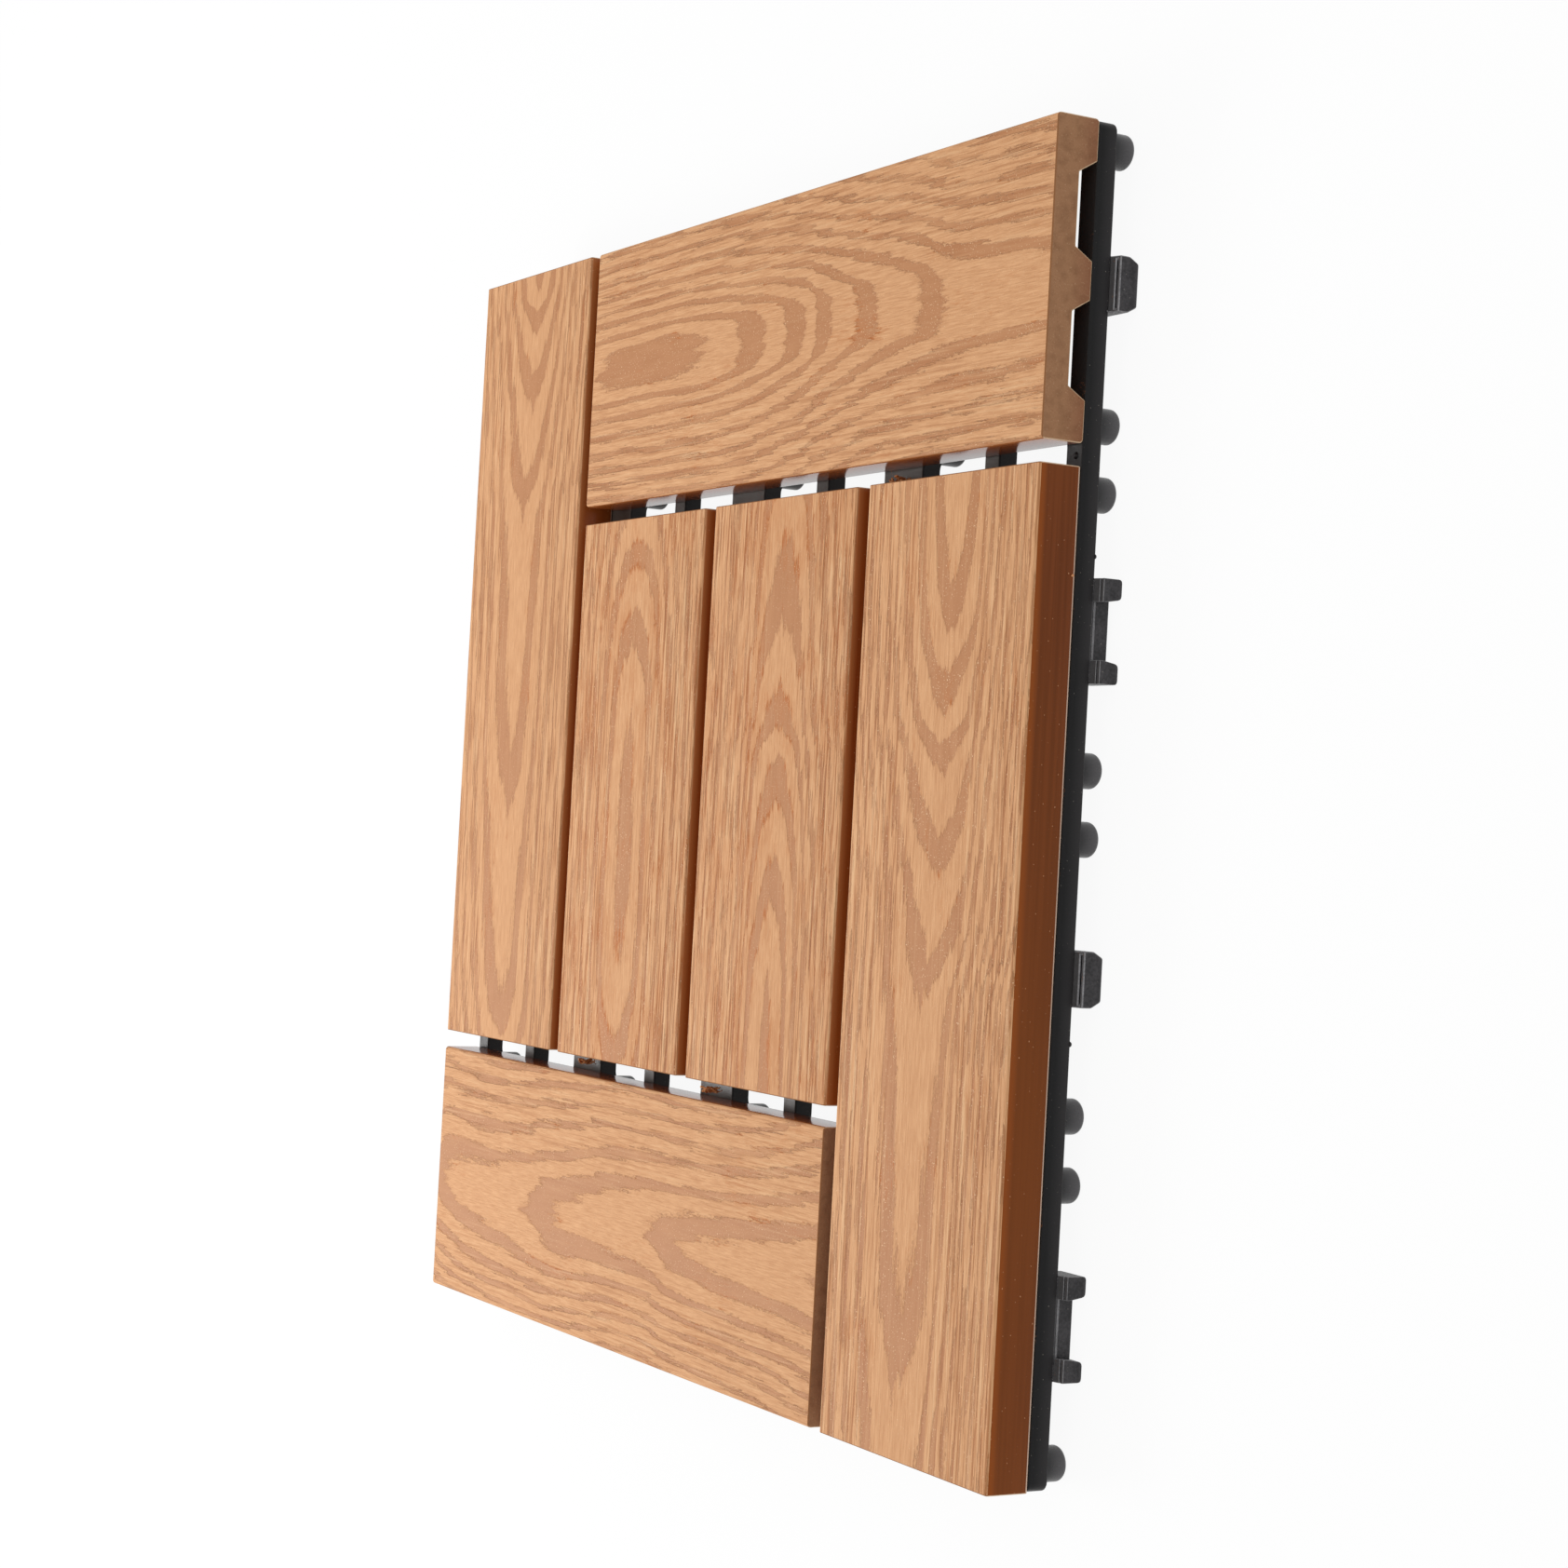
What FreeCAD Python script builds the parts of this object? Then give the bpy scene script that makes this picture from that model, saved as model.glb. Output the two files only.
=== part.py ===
import FreeCAD, Part
import Sketcher
import math
import os

# Interlocking deck tile: six grooved wood-plastic planks laid as a pinwheel on one
# moulded base grid, and held by screws driven up through the base.
# +Z is up, the origin is under the middle of the tile on the floor, and the tile's
# four edges lie along X and Y.

doc = FreeCAD.newDocument("deck_tile")

# Driving sizes in millimetres, with what each one is
SIZES = [
    ("plank_width", 71.25, "width of every plank across its grain"),
    ("plank_gap", 5.0, "gap between two planks"),
    ("plank_thick", 11.0, "thickness of a plank"),
    ("leg_width", 9.4, "flat foot along each long side of a plank"),
    ("ridge_width", 8.6, "flat ridge under the middle of a plank"),
    ("flank_run", 2.8, "sideways run of a groove's sloping flank"),
    ("groove_depth", 4.6, "depth of the two grooves under a plank"),
    ("arris_radius", 1.4, "rounded long edge of a plank's top"),
    ("heel_radius", 0.9, "rounded long edge of a plank's underside"),
    ("grid_depth", 5.0, "depth of the base grid's ribs"),
    ("web_thick", 2.0, "skin left over the cored pads"),
    ("rib_thick", 2.2, "thickness of a twin rib"),
    ("twin_offset", 7.6, "distance of a twin rib from the gap's middle"),
    ("spine_width", 6.0, "width of the rib under a plank's ridge"),
    ("gusset", 3.6, "gusset over a foot in each corner of crossing ribs"),
    ("corner_radius", 1.5, "rounded upright corner of the base"),
    ("foot_radius", 4.0, "radius of a foot"),
    ("foot_height", 6.0, "height of a foot below the grid"),
    ("foot_round", 0.8, "eased lower edge of a foot"),
    ("reach", 2.5, "how far tongues and cheeks stand out of the rim"),
    ("floor_clear", 0.3, "height of tongues and cheeks above the floor"),
    ("tongue_width", 12.4, "width of a tongue"),
    ("tongue_slope", 0.8, "fall of the top of a tongue or cheek"),
    ("lead_in", 1.4, "sideways lead-in at a tongue's lower corners"),
    ("lead_in_rise", 2.4, "height of that lead-in"),
    ("slit_width", 0.5, "width of the slit behind a tongue's lip"),
    ("slit_depth", 0.9, "depth of that slit"),
    ("lip_thick", 0.7, "thickness of a tongue's lip"),
    ("mate_clear", 0.2, "clearance between a tongue and each cheek"),
    ("cheek_width", 5.2, "width of a cheek"),
    ("cheek_flare", 0.7, "widening of a socket towards its foot"),
    ("root_clear", 1.5, "height of a socket's back wall above the floor"),
    ("root_inset", 0.4, "inset of a socket's back wall from the rim's face"),
    ("boss_radius", 6.0, "radius of a screw boss"),
    ("screw_radius", 1.7, "radius of a screw's shank"),
    ("head_radius", 3.5, "radius of a screw's head"),
    ("head_height", 1.9, "height of a screw's head"),
    ("shank_clear", 0.4, "clearance round a shank in the base"),
    ("pilot_clear", 0.05, "clearance round a shank in a plank"),
    ("pilot_extra", 0.8, "depth of a pilot hole past the screw's point"),
    ("pilot_cover", 2.8, "plank left above a pilot hole"),
]

sheet = doc.addObject("Spreadsheet::Sheet", "Sizes")
for row, (alias, size, note) in enumerate(SIZES, start=1):
    sheet.set("A%d" % row, alias)
    sheet.set("B%d" % row, str(size))
    sheet.set("C%d" % row, note)
    sheet.setAlias("B%d" % row, alias)
doc.recompute()

# Lengths that follow from the driving sizes
PITCH = "(Sizes.plank_width + Sizes.plank_gap)"
HALF_SIDE = "(2 * Sizes.plank_width + 1.5 * Sizes.plank_gap)"
LONG_PLANK = "(3 * Sizes.plank_width + 2 * Sizes.plank_gap)"
CENTRE_PLANK = "(2 * Sizes.plank_width + Sizes.plank_gap)"
BASE_HEIGHT = "(Sizes.foot_height + Sizes.grid_depth)"
CORE_DEPTH = "(Sizes.grid_depth - Sizes.web_thick)"
# A module of the base lies round each screw. Its sizes are taken from the screw: the
# inner face of the twin ribs round it, and the middle of a foot
TWIN_INNER = "(0.5 * %s - Sizes.twin_offset - 0.5 * Sizes.rib_thick)" % PITCH
FOOT_OFFSET = "(0.5 * %s - Sizes.twin_offset)" % PITCH
MODULES = 4
# Where the first module has its middle, seen from the tile's
MIDDLE = "(0.5 * %s)" % PITCH
QUARTER_TURNS = [(1, 1), (-1, 1), (-1, -1), (1, -1)]
# Pilot holes stop under the plank's top, and the screws a little before their end
PILOT_DEPTH = "(Sizes.plank_thick - Sizes.pilot_cover)"
PILOT_RADIUS = "(Sizes.screw_radius + Sizes.pilot_clear)"
SCREW_LENGTH = "(Sizes.grid_depth + %s - Sizes.pilot_extra)" % PILOT_DEPTH
# Section of a tongue or cheek, from the rim's inner face outwards and from its foot up
RIM_INNER = "(2 * %s - Sizes.twin_offset - 0.5 * Sizes.rib_thick)" % PITCH
SOCKET_HALF = "(0.5 * Sizes.tongue_width + Sizes.mate_clear)"
CLIP_FOOT = "(Sizes.floor_clear - Sizes.foot_height)"
CLIP_TIP = "(%s + Sizes.reach)" % HALF_SIDE
CLIP_LENGTH = "(%s - %s)" % (CLIP_TIP, RIM_INNER)
CLIP_SECTION = [
    (RIM_INNER, CLIP_FOOT),
    (CLIP_TIP, CLIP_FOOT),
    (CLIP_TIP, "-Sizes.tongue_slope"),
    (HALF_SIDE, "0"),
    (HALF_SIDE, "0.5 * Sizes.grid_depth"),
    (RIM_INNER, "0.5 * Sizes.grid_depth"),
]
# The two outer sides of a quarter of the base. Sections are drawn on one plane and
# outlines, seen from outside, on another. The signs say which way those planes are
# moved to reach a place along the side, and to reach the rim.
SIDES = {
    "right": {"section": "XZ_Plane", "face": "YZ_Plane", "along": "-", "out": "",
              "cut_out": True, "tongue": 1.5, "socket": 0.5},
    "back": {"section": "YZ_Plane", "face": "XZ_Plane", "along": "", "out": "-",
             "cut_out": False, "tongue": 0.5, "socket": 1.5},
}
# Rounds that repeat often have this many flat sides
FOOT_SIDES = 10
SHANK_SIDES = 8
FULL_TURN = 360
NEAR = 0.001


def value(expression):
    """The number that an expression over the sheet gives."""
    result = sheet.evalExpression(expression)
    return float(getattr(result, "Value", result))


def origin_part(body, role):
    """A body's own origin plane or axis."""
    for item in body.Origin.OriginFeatures:
        if item.Role == role:
            return item
    raise ValueError("no origin feature " + role)


def new_body(label, place):
    """A body with its label and a placement bound to the sheet."""
    body = doc.addObject("PartDesign::Body", label)
    body.Label = label
    for axis, expression in zip("xyz", place):
        body.setExpression(".Placement.Base." + axis, expression)
    return body


def new_sketch(body, name, plane, shift=("0", "0", "0")):
    """A sketch on an origin plane, moved in the plane's own axes."""
    sketch = body.newObject("Sketcher::SketchObject", name)
    sketch.AttachmentSupport = (origin_part(body, plane), [""])
    sketch.MapMode = "FlatFace"
    for axis, expression in zip("xyz", shift):
        sketch.setExpression(".AttachmentOffset.Base." + axis, expression)
    return sketch


def draw(sketch, outlines):
    """Closed outlines of straight sides, every corner held by its two expressions."""
    lines = []
    constraints = []
    held = []
    for corners in outlines:
        spots = [FreeCAD.Vector(value(x), value(y), 0) for x, y in corners]
        first = len(lines)
        for index, (corner, spot) in enumerate(zip(corners, spots)):
            following = (index + 1) % len(corners)
            lines.append(Part.LineSegment(spot, spots[following]))
            constraints.append(
                Sketcher.Constraint("Coincident", first + index, 2, first + following, 1))
            for kind, expression, size in zip(("DistanceX", "DistanceY"), corner, spot):
                held.append((len(constraints), expression))
                constraints.append(Sketcher.Constraint(kind, -1, 1, first + index, 1, size))
    sketch.addGeometry(lines, False)
    sketch.addConstraint(constraints)
    for index, expression in held:
        sketch.setExpression("Constraints[%d]" % index, expression)


def rectangle(low_x, low_y, high_x, high_y):
    """The corners of a rectangle."""
    return [(low_x, low_y), (high_x, low_y), (high_x, high_y), (low_x, high_y)]


def ring(sides, x, y, radius):
    """The corners of a regular outline about a centre, for rounds that repeat often."""
    step = FULL_TURN / sides
    return [
        ("%s + (%s) * cos(%g deg)" % (x, radius, (number + 0.5) * step),
         "%s + (%s) * sin(%g deg)" % (y, radius, (number + 0.5) * step))
        for number in range(sides)]


def moved(corners, x, y, turn_x=1, turn_y=1):
    """An outline turned over about its own axes where a turn is -1, then moved."""
    return [
        ("%s + %d * %s" % (x, turn_x, corner_x), "%s + %d * %s" % (y, turn_y, corner_y))
        for corner_x, corner_y in corners]


def pad(body, name, sketch, length, middle=False, reverse=False):
    """Material grown from a sketch."""
    feature = body.newObject("PartDesign::Pad", name)
    feature.Profile = sketch
    feature.setExpression("Length", length)
    feature.Midplane = middle
    feature.Reversed = reverse
    feature.Refine = False
    doc.recompute()
    return feature


def pocket(body, name, sketch, length, middle=False, reverse=False):
    """Material cut away, which has to make the body smaller."""
    before = body.Shape.Volume
    feature = body.newObject("PartDesign::Pocket", name)
    feature.Profile = sketch
    feature.setExpression("Length", length)
    feature.Midplane = middle
    feature.Reversed = reverse
    feature.Refine = False
    doc.recompute()
    if body.Shape.Volume >= before:
        raise ValueError("nothing was cut by " + name)
    return feature


def repeat(body, name, feature):
    """A feature of the first module, copied to the other modules of its quarter."""
    pattern = body.newObject("PartDesign::MultiTransform", name)
    pattern.Originals = [feature]
    moves = []
    for role in ("X_Axis", "Y_Axis"):
        move = body.newObject("PartDesign::LinearPattern", name + "_" + role)
        move.Direction = (origin_part(body, role), [""])
        move.setExpression("Length", PITCH)
        move.Occurrences = 2
        moves.append(move)
    pattern.Transformations = moves
    pattern.Refine = False
    body.Tip = pattern
    doc.recompute()
    return pattern


def long_edges(shape, axis, wanted):
    """Names of the straight edges along an axis whose middle passes a test."""
    names = []
    for number, edge in enumerate(shape.Edges, start=1):
        if edge.Curve.TypeId != "Part::GeomLine" or len(edge.Vertexes) < 2:
            continue
        direction = edge.Vertexes[1].Point - edge.Vertexes[0].Point
        direction.normalize()
        if abs(direction.dot(axis)) > 0.999 and wanted(edge.CenterOfMass):
            names.append("Edge%d" % number)
    return names


def round_edges(body, name, base, edges, radius):
    """A fillet on named edges of a feature."""
    feature = body.newObject("PartDesign::Fillet", name)
    feature.Base = (base, edges)
    feature.setExpression("Radius", radius)
    doc.recompute()
    return feature


def build_plank(label, length, holes, place, angle):
    """One plank: extruded along its grain, with pilot holes in its ridge."""
    body = new_body(label, place)
    body.Placement = FreeCAD.Placement(
        body.Placement.Base, FreeCAD.Rotation(FreeCAD.Vector(0, 0, 1), angle))
    # Half of the section, from the middle of the ridge to the side
    half = "0.5 * Sizes.plank_width"
    ridge = "0.5 * Sizes.ridge_width"
    ridge_top = "(%s + Sizes.flank_run)" % ridge
    leg = "(%s - Sizes.leg_width)" % half
    leg_top = "(%s - Sizes.flank_run)" % leg
    right = [
        (ridge, "0"),
        (ridge_top, "Sizes.groove_depth"),
        (leg_top, "Sizes.groove_depth"),
        (leg, "0"),
        (half, "0"),
        (half, "Sizes.plank_thick"),
    ]
    left = [("-(%s)" % x, y) for x, y in reversed(right)]
    section = new_sketch(body, label + "_section", "XZ_Plane")
    draw(section, [right + left])
    blank = pad(body, label + "_blank", section, length, middle=True)

    grain = FreeCAD.Vector(0, 1, 0)
    side = value(half) - NEAR
    top = value("Sizes.plank_thick") - NEAR
    arrises = long_edges(blank.Shape, grain, lambda p: abs(p.x) > side and p.z > top)
    eased = round_edges(body, label + "_arrises", blank, arrises, "Sizes.arris_radius")
    heels = long_edges(eased.Shape, grain, lambda p: abs(p.x) > side and p.z < NEAR)
    round_edges(body, label + "_heels", eased, heels, "Sizes.heel_radius")

    pilots = new_sketch(body, label + "_pilots", "XY_Plane")
    draw(pilots, [
        ring(SHANK_SIDES, "0", "%g * %s" % (number - 0.5 * (holes - 1), PITCH), PILOT_RADIUS)
        for number in range(holes)])
    pocket(body, label + "_holes", pilots, PILOT_DEPTH, reverse=True)
    return body


# Four long planks chase each other round the edge, each a quarter turn from the last
LONG_PLANKS = ["long_plank_left", "long_plank_back", "long_plank_right", "long_plank_front"]
nodes = []
for quarter, label in enumerate(LONG_PLANKS):
    angle = -90 * quarter
    turn = math.radians(angle)
    across = round(-1.5 * math.cos(turn) - 0.5 * math.sin(turn), 3)
    along = round(-1.5 * math.sin(turn) + 0.5 * math.cos(turn), 3)
    place = ("%g * %s" % (across, PITCH), "%g * %s" % (along, PITCH), BASE_HEIGHT)
    nodes.append(build_plank(label, LONG_PLANK, 3, place, angle))

# Two centre planks lie side by side inside them
for label, side in (("centre_plank_left", -0.5), ("centre_plank_right", 0.5)):
    place = ("%g * %s" % (side, PITCH), "0", BASE_HEIGHT)
    nodes.append(build_plank(label, CENTRE_PLANK, 2, place, 0))


def build_tongue(body, name, side):
    """A tongue below the rim: lead-ins at its lower corners, a slit behind its lip."""
    spot = "(%g * %s)" % (side["tongue"], PITCH)
    section = new_sketch(body, name, side["section"], ("0", "0", side["along"] + spot))
    draw(section, [CLIP_SECTION])
    pad(body, name + "_block", section, "Sizes.tongue_width", middle=True)

    corners = new_sketch(
        body, name + "_corners", side["face"], (spot, "0", side["out"] + RIM_INNER))
    half = "(0.5 * Sizes.tongue_width)"
    lead_in = [
        (half, CLIP_FOOT),
        (half, CLIP_FOOT + " + Sizes.lead_in_rise"),
        ("(%s - Sizes.lead_in)" % half, CLIP_FOOT),
    ]
    draw(corners, [moved(lead_in, "0", "0", turn) for turn in (1, -1)])
    pocket(body, name + "_lead_ins", corners, CLIP_LENGTH, reverse=side["cut_out"])

    slit = new_sketch(body, name + "_slit", side["section"], ("0", "0", side["along"] + spot))
    lip = "(%s + Sizes.reach - Sizes.lip_thick)" % HALF_SIDE
    slit_foot = "-Sizes.tongue_slope - Sizes.slit_depth"
    draw(slit, [rectangle(lip + " - Sizes.slit_width", slit_foot, lip, "0")])
    slit_length = "Sizes.tongue_width - 2 * Sizes.lip_thick"
    pocket(body, name + "_slit_cut", slit, slit_length, middle=True)


def build_socket(body, name, side):
    """A socket: two cheeks below the rim, with a back wall between them."""
    spot = "(%g * %s)" % (side["socket"], PITCH)
    wall = new_sketch(body, name, side["section"], ("0", "0", side["along"] + spot))
    wall_face = "(%s - Sizes.root_inset)" % HALF_SIDE
    wall_foot = "Sizes.root_clear - Sizes.foot_height"
    draw(wall, [rectangle(RIM_INNER, wall_foot, wall_face, "0.5 * Sizes.grid_depth")])
    pad(body, name + "_wall", wall, "2 * (%s + Sizes.cheek_width)" % SOCKET_HALF, middle=True)
    for label, sign in (("near", "-"), ("far", "+")):
        offset = "(%s %s (%s + 0.5 * Sizes.cheek_width))" % (spot, sign, SOCKET_HALF)
        cheek = new_sketch(
            body, name + "_" + label, side["section"], ("0", "0", side["along"] + offset))
        draw(cheek, [CLIP_SECTION])
        pad(body, name + "_cheek_" + label, cheek, "Sizes.cheek_width", middle=True)

    flares = new_sketch(
        body, name + "_flares", side["face"], (spot, "0", side["out"] + wall_face))
    flare = [
        (SOCKET_HALF, "-Sizes.tongue_slope"),
        (SOCKET_HALF, CLIP_FOOT),
        ("(%s + Sizes.cheek_flare)" % SOCKET_HALF, CLIP_FOOT),
    ]
    draw(flares, [moved(flare, "0", "0", turn) for turn in (1, -1)])
    pocket(body, name + "_flare_cut", flares, CLIP_LENGTH, reverse=side["cut_out"])


def grid_openings():
    """Outlines of the first module's openings through the grid, and of its cored pad."""
    spine = "(0.5 * Sizes.spine_width)"
    boss_cut = "sqrt(Sizes.boss_radius ^ 2 - %s ^ 2)" % spine
    gusset_cut = "(%s - Sizes.gusset)" % TWIN_INNER
    slot_half = "(Sizes.twin_offset - 0.5 * Sizes.rib_thick)"
    slot_end = "(%s - Sizes.gusset)" % slot_half
    # One of four cells round a screw, cut back for its boss and for a gusset over a foot
    cell = [
        (spine, boss_cut),
        (boss_cut, spine),
        (TWIN_INNER, spine),
        (TWIN_INNER, gusset_cut),
        (gusset_cut, TWIN_INNER),
        (spine, TWIN_INNER),
    ]
    # Half of the slot between two twin ribs, under a gap between planks
    slot = [
        (slot_half, spine),
        (slot_half, gusset_cut),
        (slot_end, TWIN_INNER),
        ("-" + slot_end, TWIN_INNER),
        ("-" + slot_half, gusset_cut),
        ("-" + slot_half, spine),
    ]
    slot_along = [corner[::-1] for corner in slot]
    pad_corners = [
        (slot_half, slot_end),
        (slot_end, slot_half),
        ("-" + slot_end, slot_half),
        ("-" + slot_half, slot_end),
        ("-" + slot_half, "-" + slot_end),
        ("-" + slot_end, "-" + slot_half),
        (slot_end, "-" + slot_half),
        (slot_half, "-" + slot_end),
    ]
    openings = [ring(SHANK_SIDES, MIDDLE, MIDDLE, "Sizes.screw_radius + Sizes.shank_clear")]
    openings += [moved(cell, MIDDLE, MIDDLE, *turns) for turns in QUARTER_TURNS]
    openings += [moved(slot, "0", MIDDLE, 1, turn) for turn in (1, -1)]
    openings += [moved(slot_along, MIDDLE, "0", turn, 1) for turn in (1, -1)]
    return openings, [pad_corners]


def build_base():
    """The moulded base: rim, ribs, bosses, feet, and the tongues and sockets.

    One quarter is built, with X and Y positive, and turned about the middle. Its own
    origin lies on the underside of the ribs.
    """
    body = new_body("base_grid", ("0", "0", "Sizes.foot_height"))
    slab_outline = new_sketch(body, "slab_outline", "XY_Plane")
    draw(slab_outline, [rectangle("0", "0", HALF_SIDE, HALF_SIDE)])
    slab = pad(body, "slab", slab_outline, "Sizes.grid_depth")
    limit = value(HALF_SIDE) - NEAR
    corner = long_edges(
        slab.Shape, FreeCAD.Vector(0, 0, 1), lambda p: min(p.x, p.y) > limit)
    round_edges(body, "slab_corner", slab, corner, "Sizes.corner_radius")

    for name, side in SIDES.items():
        build_tongue(body, "tongue_" + name, side)
        build_socket(body, "socket_" + name, side)

    # Round feet with eased lower edges, one under each crossing of two twin ribs
    spots = ["%s %s %s" % (MIDDLE, sign, FOOT_OFFSET) for sign in "-+"]
    foot_outlines = new_sketch(body, "foot_outlines", "XY_Plane")
    draw(foot_outlines, [
        ring(FOOT_SIDES, x, y, "Sizes.foot_radius") for x in spots for y in spots])
    foot = pad(body, "foot", foot_outlines, "Sizes.foot_height", reverse=True)
    feet = repeat(body, "feet", foot)
    sole = NEAR - value("Sizes.foot_height")
    sole_edges = ["Edge%d" % number for number, edge in enumerate(feet.Shape.Edges, start=1)
                  if max(vertex.Z for vertex in edge.Vertexes) < sole]
    eased = body.newObject("PartDesign::Chamfer", "eased_feet")
    eased.Base = (feet, sole_edges)
    eased.setExpression("Size", "Sizes.foot_round")
    doc.recompute()

    # Cells and slots go right through, and pads are cored from below, under a skin
    openings, pads = grid_openings()
    for name, outlines, depth in (
            ("openings", openings, "Sizes.grid_depth"), ("cored_pads", pads, CORE_DEPTH)):
        outline_sketch = new_sketch(body, name + "_outline", "XY_Plane")
        draw(outline_sketch, outlines)
        cut = pocket(body, name + "_cut", outline_sketch, depth, reverse=True)
        repeat(body, name, cut)

    # The other three quarters
    turned = body.newObject("PartDesign::PolarPattern", "quarters")
    turned.TransformMode = "Whole shape"
    turned.Axis = (origin_part(body, "Z_Axis"), [""])
    turned.Angle = FULL_TURN
    turned.Occurrences = 4
    turned.Refine = False
    body.Tip = turned
    doc.recompute()
    return body


nodes.append(build_base())


def prism(sides, radius, height):
    """An upright prism with a regular outline, from z = 0 to its height."""
    step = 2 * math.pi / sides
    corners = [
        FreeCAD.Vector(
            radius * math.cos((number + 0.5) * step), radius * math.sin((number + 0.5) * step), 0)
        for number in range(sides + 1)]
    return Part.Face(Part.makePolygon(corners)).extrude(FreeCAD.Vector(0, 0, height))


def build_screws():
    """The sixteen screws, as one group of separate solids."""
    seat = value("Sizes.foot_height")
    head = prism(FOOT_SIDES, value("Sizes.head_radius"), -value("Sizes.head_height"))
    shank = prism(SHANK_SIDES, value("Sizes.screw_radius"), value(SCREW_LENGTH))
    screw = head.fuse(shank)
    pitch = value(PITCH)
    copies = []
    for column in range(MODULES):
        for rank in range(MODULES):
            x = (column - 0.5 * (MODULES - 1)) * pitch
            y = (rank - 0.5 * (MODULES - 1)) * pitch
            copy = screw.copy()
            copy.translate(FreeCAD.Vector(x, y, 0))
            copies.append(copy)
    group = doc.addObject("Part::Feature", "plank_screws")
    group.Label = "plank_screws"
    group.Shape = Part.makeCompound(copies)
    group.Placement = FreeCAD.Placement(FreeCAD.Vector(0, 0, seat), FreeCAD.Rotation())
    return group


nodes.append(build_screws())

doc.recompute()
for item in doc.Objects:
    if "Invalid" in item.State or "Error" in item.State:
        raise ValueError("failed: " + item.Name)
os.makedirs("parts", exist_ok=True)
for node in nodes:
    if node.Shape.isNull() or not node.Shape.isValid():
        raise ValueError("bad shape: " + node.Label)
    node.Shape.exportStep("parts/%s.step" % node.Label)
    box_size = node.Shape.BoundBox
    print("%-20s solids %2d  volume %.0f mm3  %.2f x %.2f x %.2f" % (
        node.Label, len(node.Shape.Solids), node.Shape.Volume,
        box_size.XLength, box_size.YLength, box_size.ZLength))
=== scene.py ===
# Interlocking deck tile: six wood-plastic planks screwed on a moulded plastic base.
# Sizes are in millimetres until mm() turns them into Blender's metres.
import math

import bmesh
import bpy
from mathutils import Matrix, Vector


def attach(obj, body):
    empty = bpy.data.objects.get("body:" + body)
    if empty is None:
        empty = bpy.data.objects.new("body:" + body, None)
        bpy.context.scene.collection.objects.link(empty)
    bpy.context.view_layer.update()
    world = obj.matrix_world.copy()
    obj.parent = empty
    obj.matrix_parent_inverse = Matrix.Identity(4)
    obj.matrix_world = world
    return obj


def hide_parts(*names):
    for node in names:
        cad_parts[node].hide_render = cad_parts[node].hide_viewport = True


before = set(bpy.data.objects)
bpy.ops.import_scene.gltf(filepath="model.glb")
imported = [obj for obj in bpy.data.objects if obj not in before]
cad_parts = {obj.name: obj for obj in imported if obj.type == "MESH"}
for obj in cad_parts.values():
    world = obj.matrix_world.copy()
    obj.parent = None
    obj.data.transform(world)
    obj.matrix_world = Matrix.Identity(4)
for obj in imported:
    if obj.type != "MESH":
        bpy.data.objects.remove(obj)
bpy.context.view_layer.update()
scene = bpy.context.scene
print("frame loaded:", len(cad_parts), "nodes")


def mm(*sizes):
    scaled = [size / 1000 for size in sizes]
    return scaled[0] if len(scaled) == 1 else Vector(scaled)


def linearColour(hexText):
    # sRGB hex to the linear colour that shaders take
    channels = []
    for start in (1, 3, 5):
        share = int(hexText[start:start + 2], 16) / 255
        channels.append(share / 12.92 if share <= 0.04045 else ((share + 0.055) / 1.055) ** 2.4)
    return (*channels, 1.0)


def fillSockets(tree, node, inputs):
    # inputs, in order or by name or number, are plain values, hex colours, or what they link to
    for socket, value in (inputs.items() if isinstance(inputs, dict) else enumerate(inputs)):
        if isinstance(value, bpy.types.Node):
            value = next(output for output in value.outputs if output.enabled)
        if isinstance(value, bpy.types.NodeSocket):
            tree.links.new(value, node.inputs[socket])
        else:
            node.inputs[socket].default_value = linearColour(value) if isinstance(value, str) else value


def addNode(tree, kind, inputs=(), **settings):
    # A node with its settings, and its inputs set or linked
    node = tree.nodes.new("ShaderNode" + kind)
    for setting, value in settings.items():
        setattr(node, setting, value)
    fillSockets(tree, node, inputs)
    return node


def newMaterial(name, **sockets):
    # A Principled material with its constant sockets set, and the tree and shader to build on
    material = bpy.data.materials.new(name)
    material.use_nodes = True
    shader = material.node_tree.nodes["Principled BSDF"]
    fillSockets(material.node_tree, shader, {socket.replace("_", " "): value for socket, value in sockets.items()})
    return material, material.node_tree, shader


# The settings of a Math node that takes a value times a gain, plus an offset, held from 0 to 1
clamped = dict(operation="MULTIPLY_ADD", use_clamp=True)


def layered(tree, colour, *layers):
    # The colour with each layer's tone laid over it, by the layer's share
    for share, tone in layers:
        colour = addNode(tree, "Mix", {0: share, 6: colour, 7: tone}, data_type="RGBA")
    return colour


# The tile's own sizes, which the planks and the base share. sliver is the radius of a turned solid's
# ends, and keeps surfaces apart that would fall in one plane. Cutters reach overcut past what they cut
tile = dict(
    side=300, plankWidth=71.25, plankGap=5, plankThick=11, baseHeight=11, footHeight=6, sliver=0.02, overcut=1)
tile["pitch"] = tile["plankWidth"] + tile["plankGap"]
tile["longPlank"] = tile["side"] - tile["pitch"]
tile["centrePlank"] = 2 * tile["pitch"] - tile["plankGap"]
tile["top"] = tile["baseHeight"] + tile["plankThick"]


# Camera: to the right of the tile and above it, rolled so that the tile stands on edge in the picture
cameraPlan = dict(
    place=(695.35, -10.59, 393.78), aim=(1.2, 3.4, -3.7), up=(-0.0115, 0.9984, 0.0553), lens=69.93, clip=(10, 20000))

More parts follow.
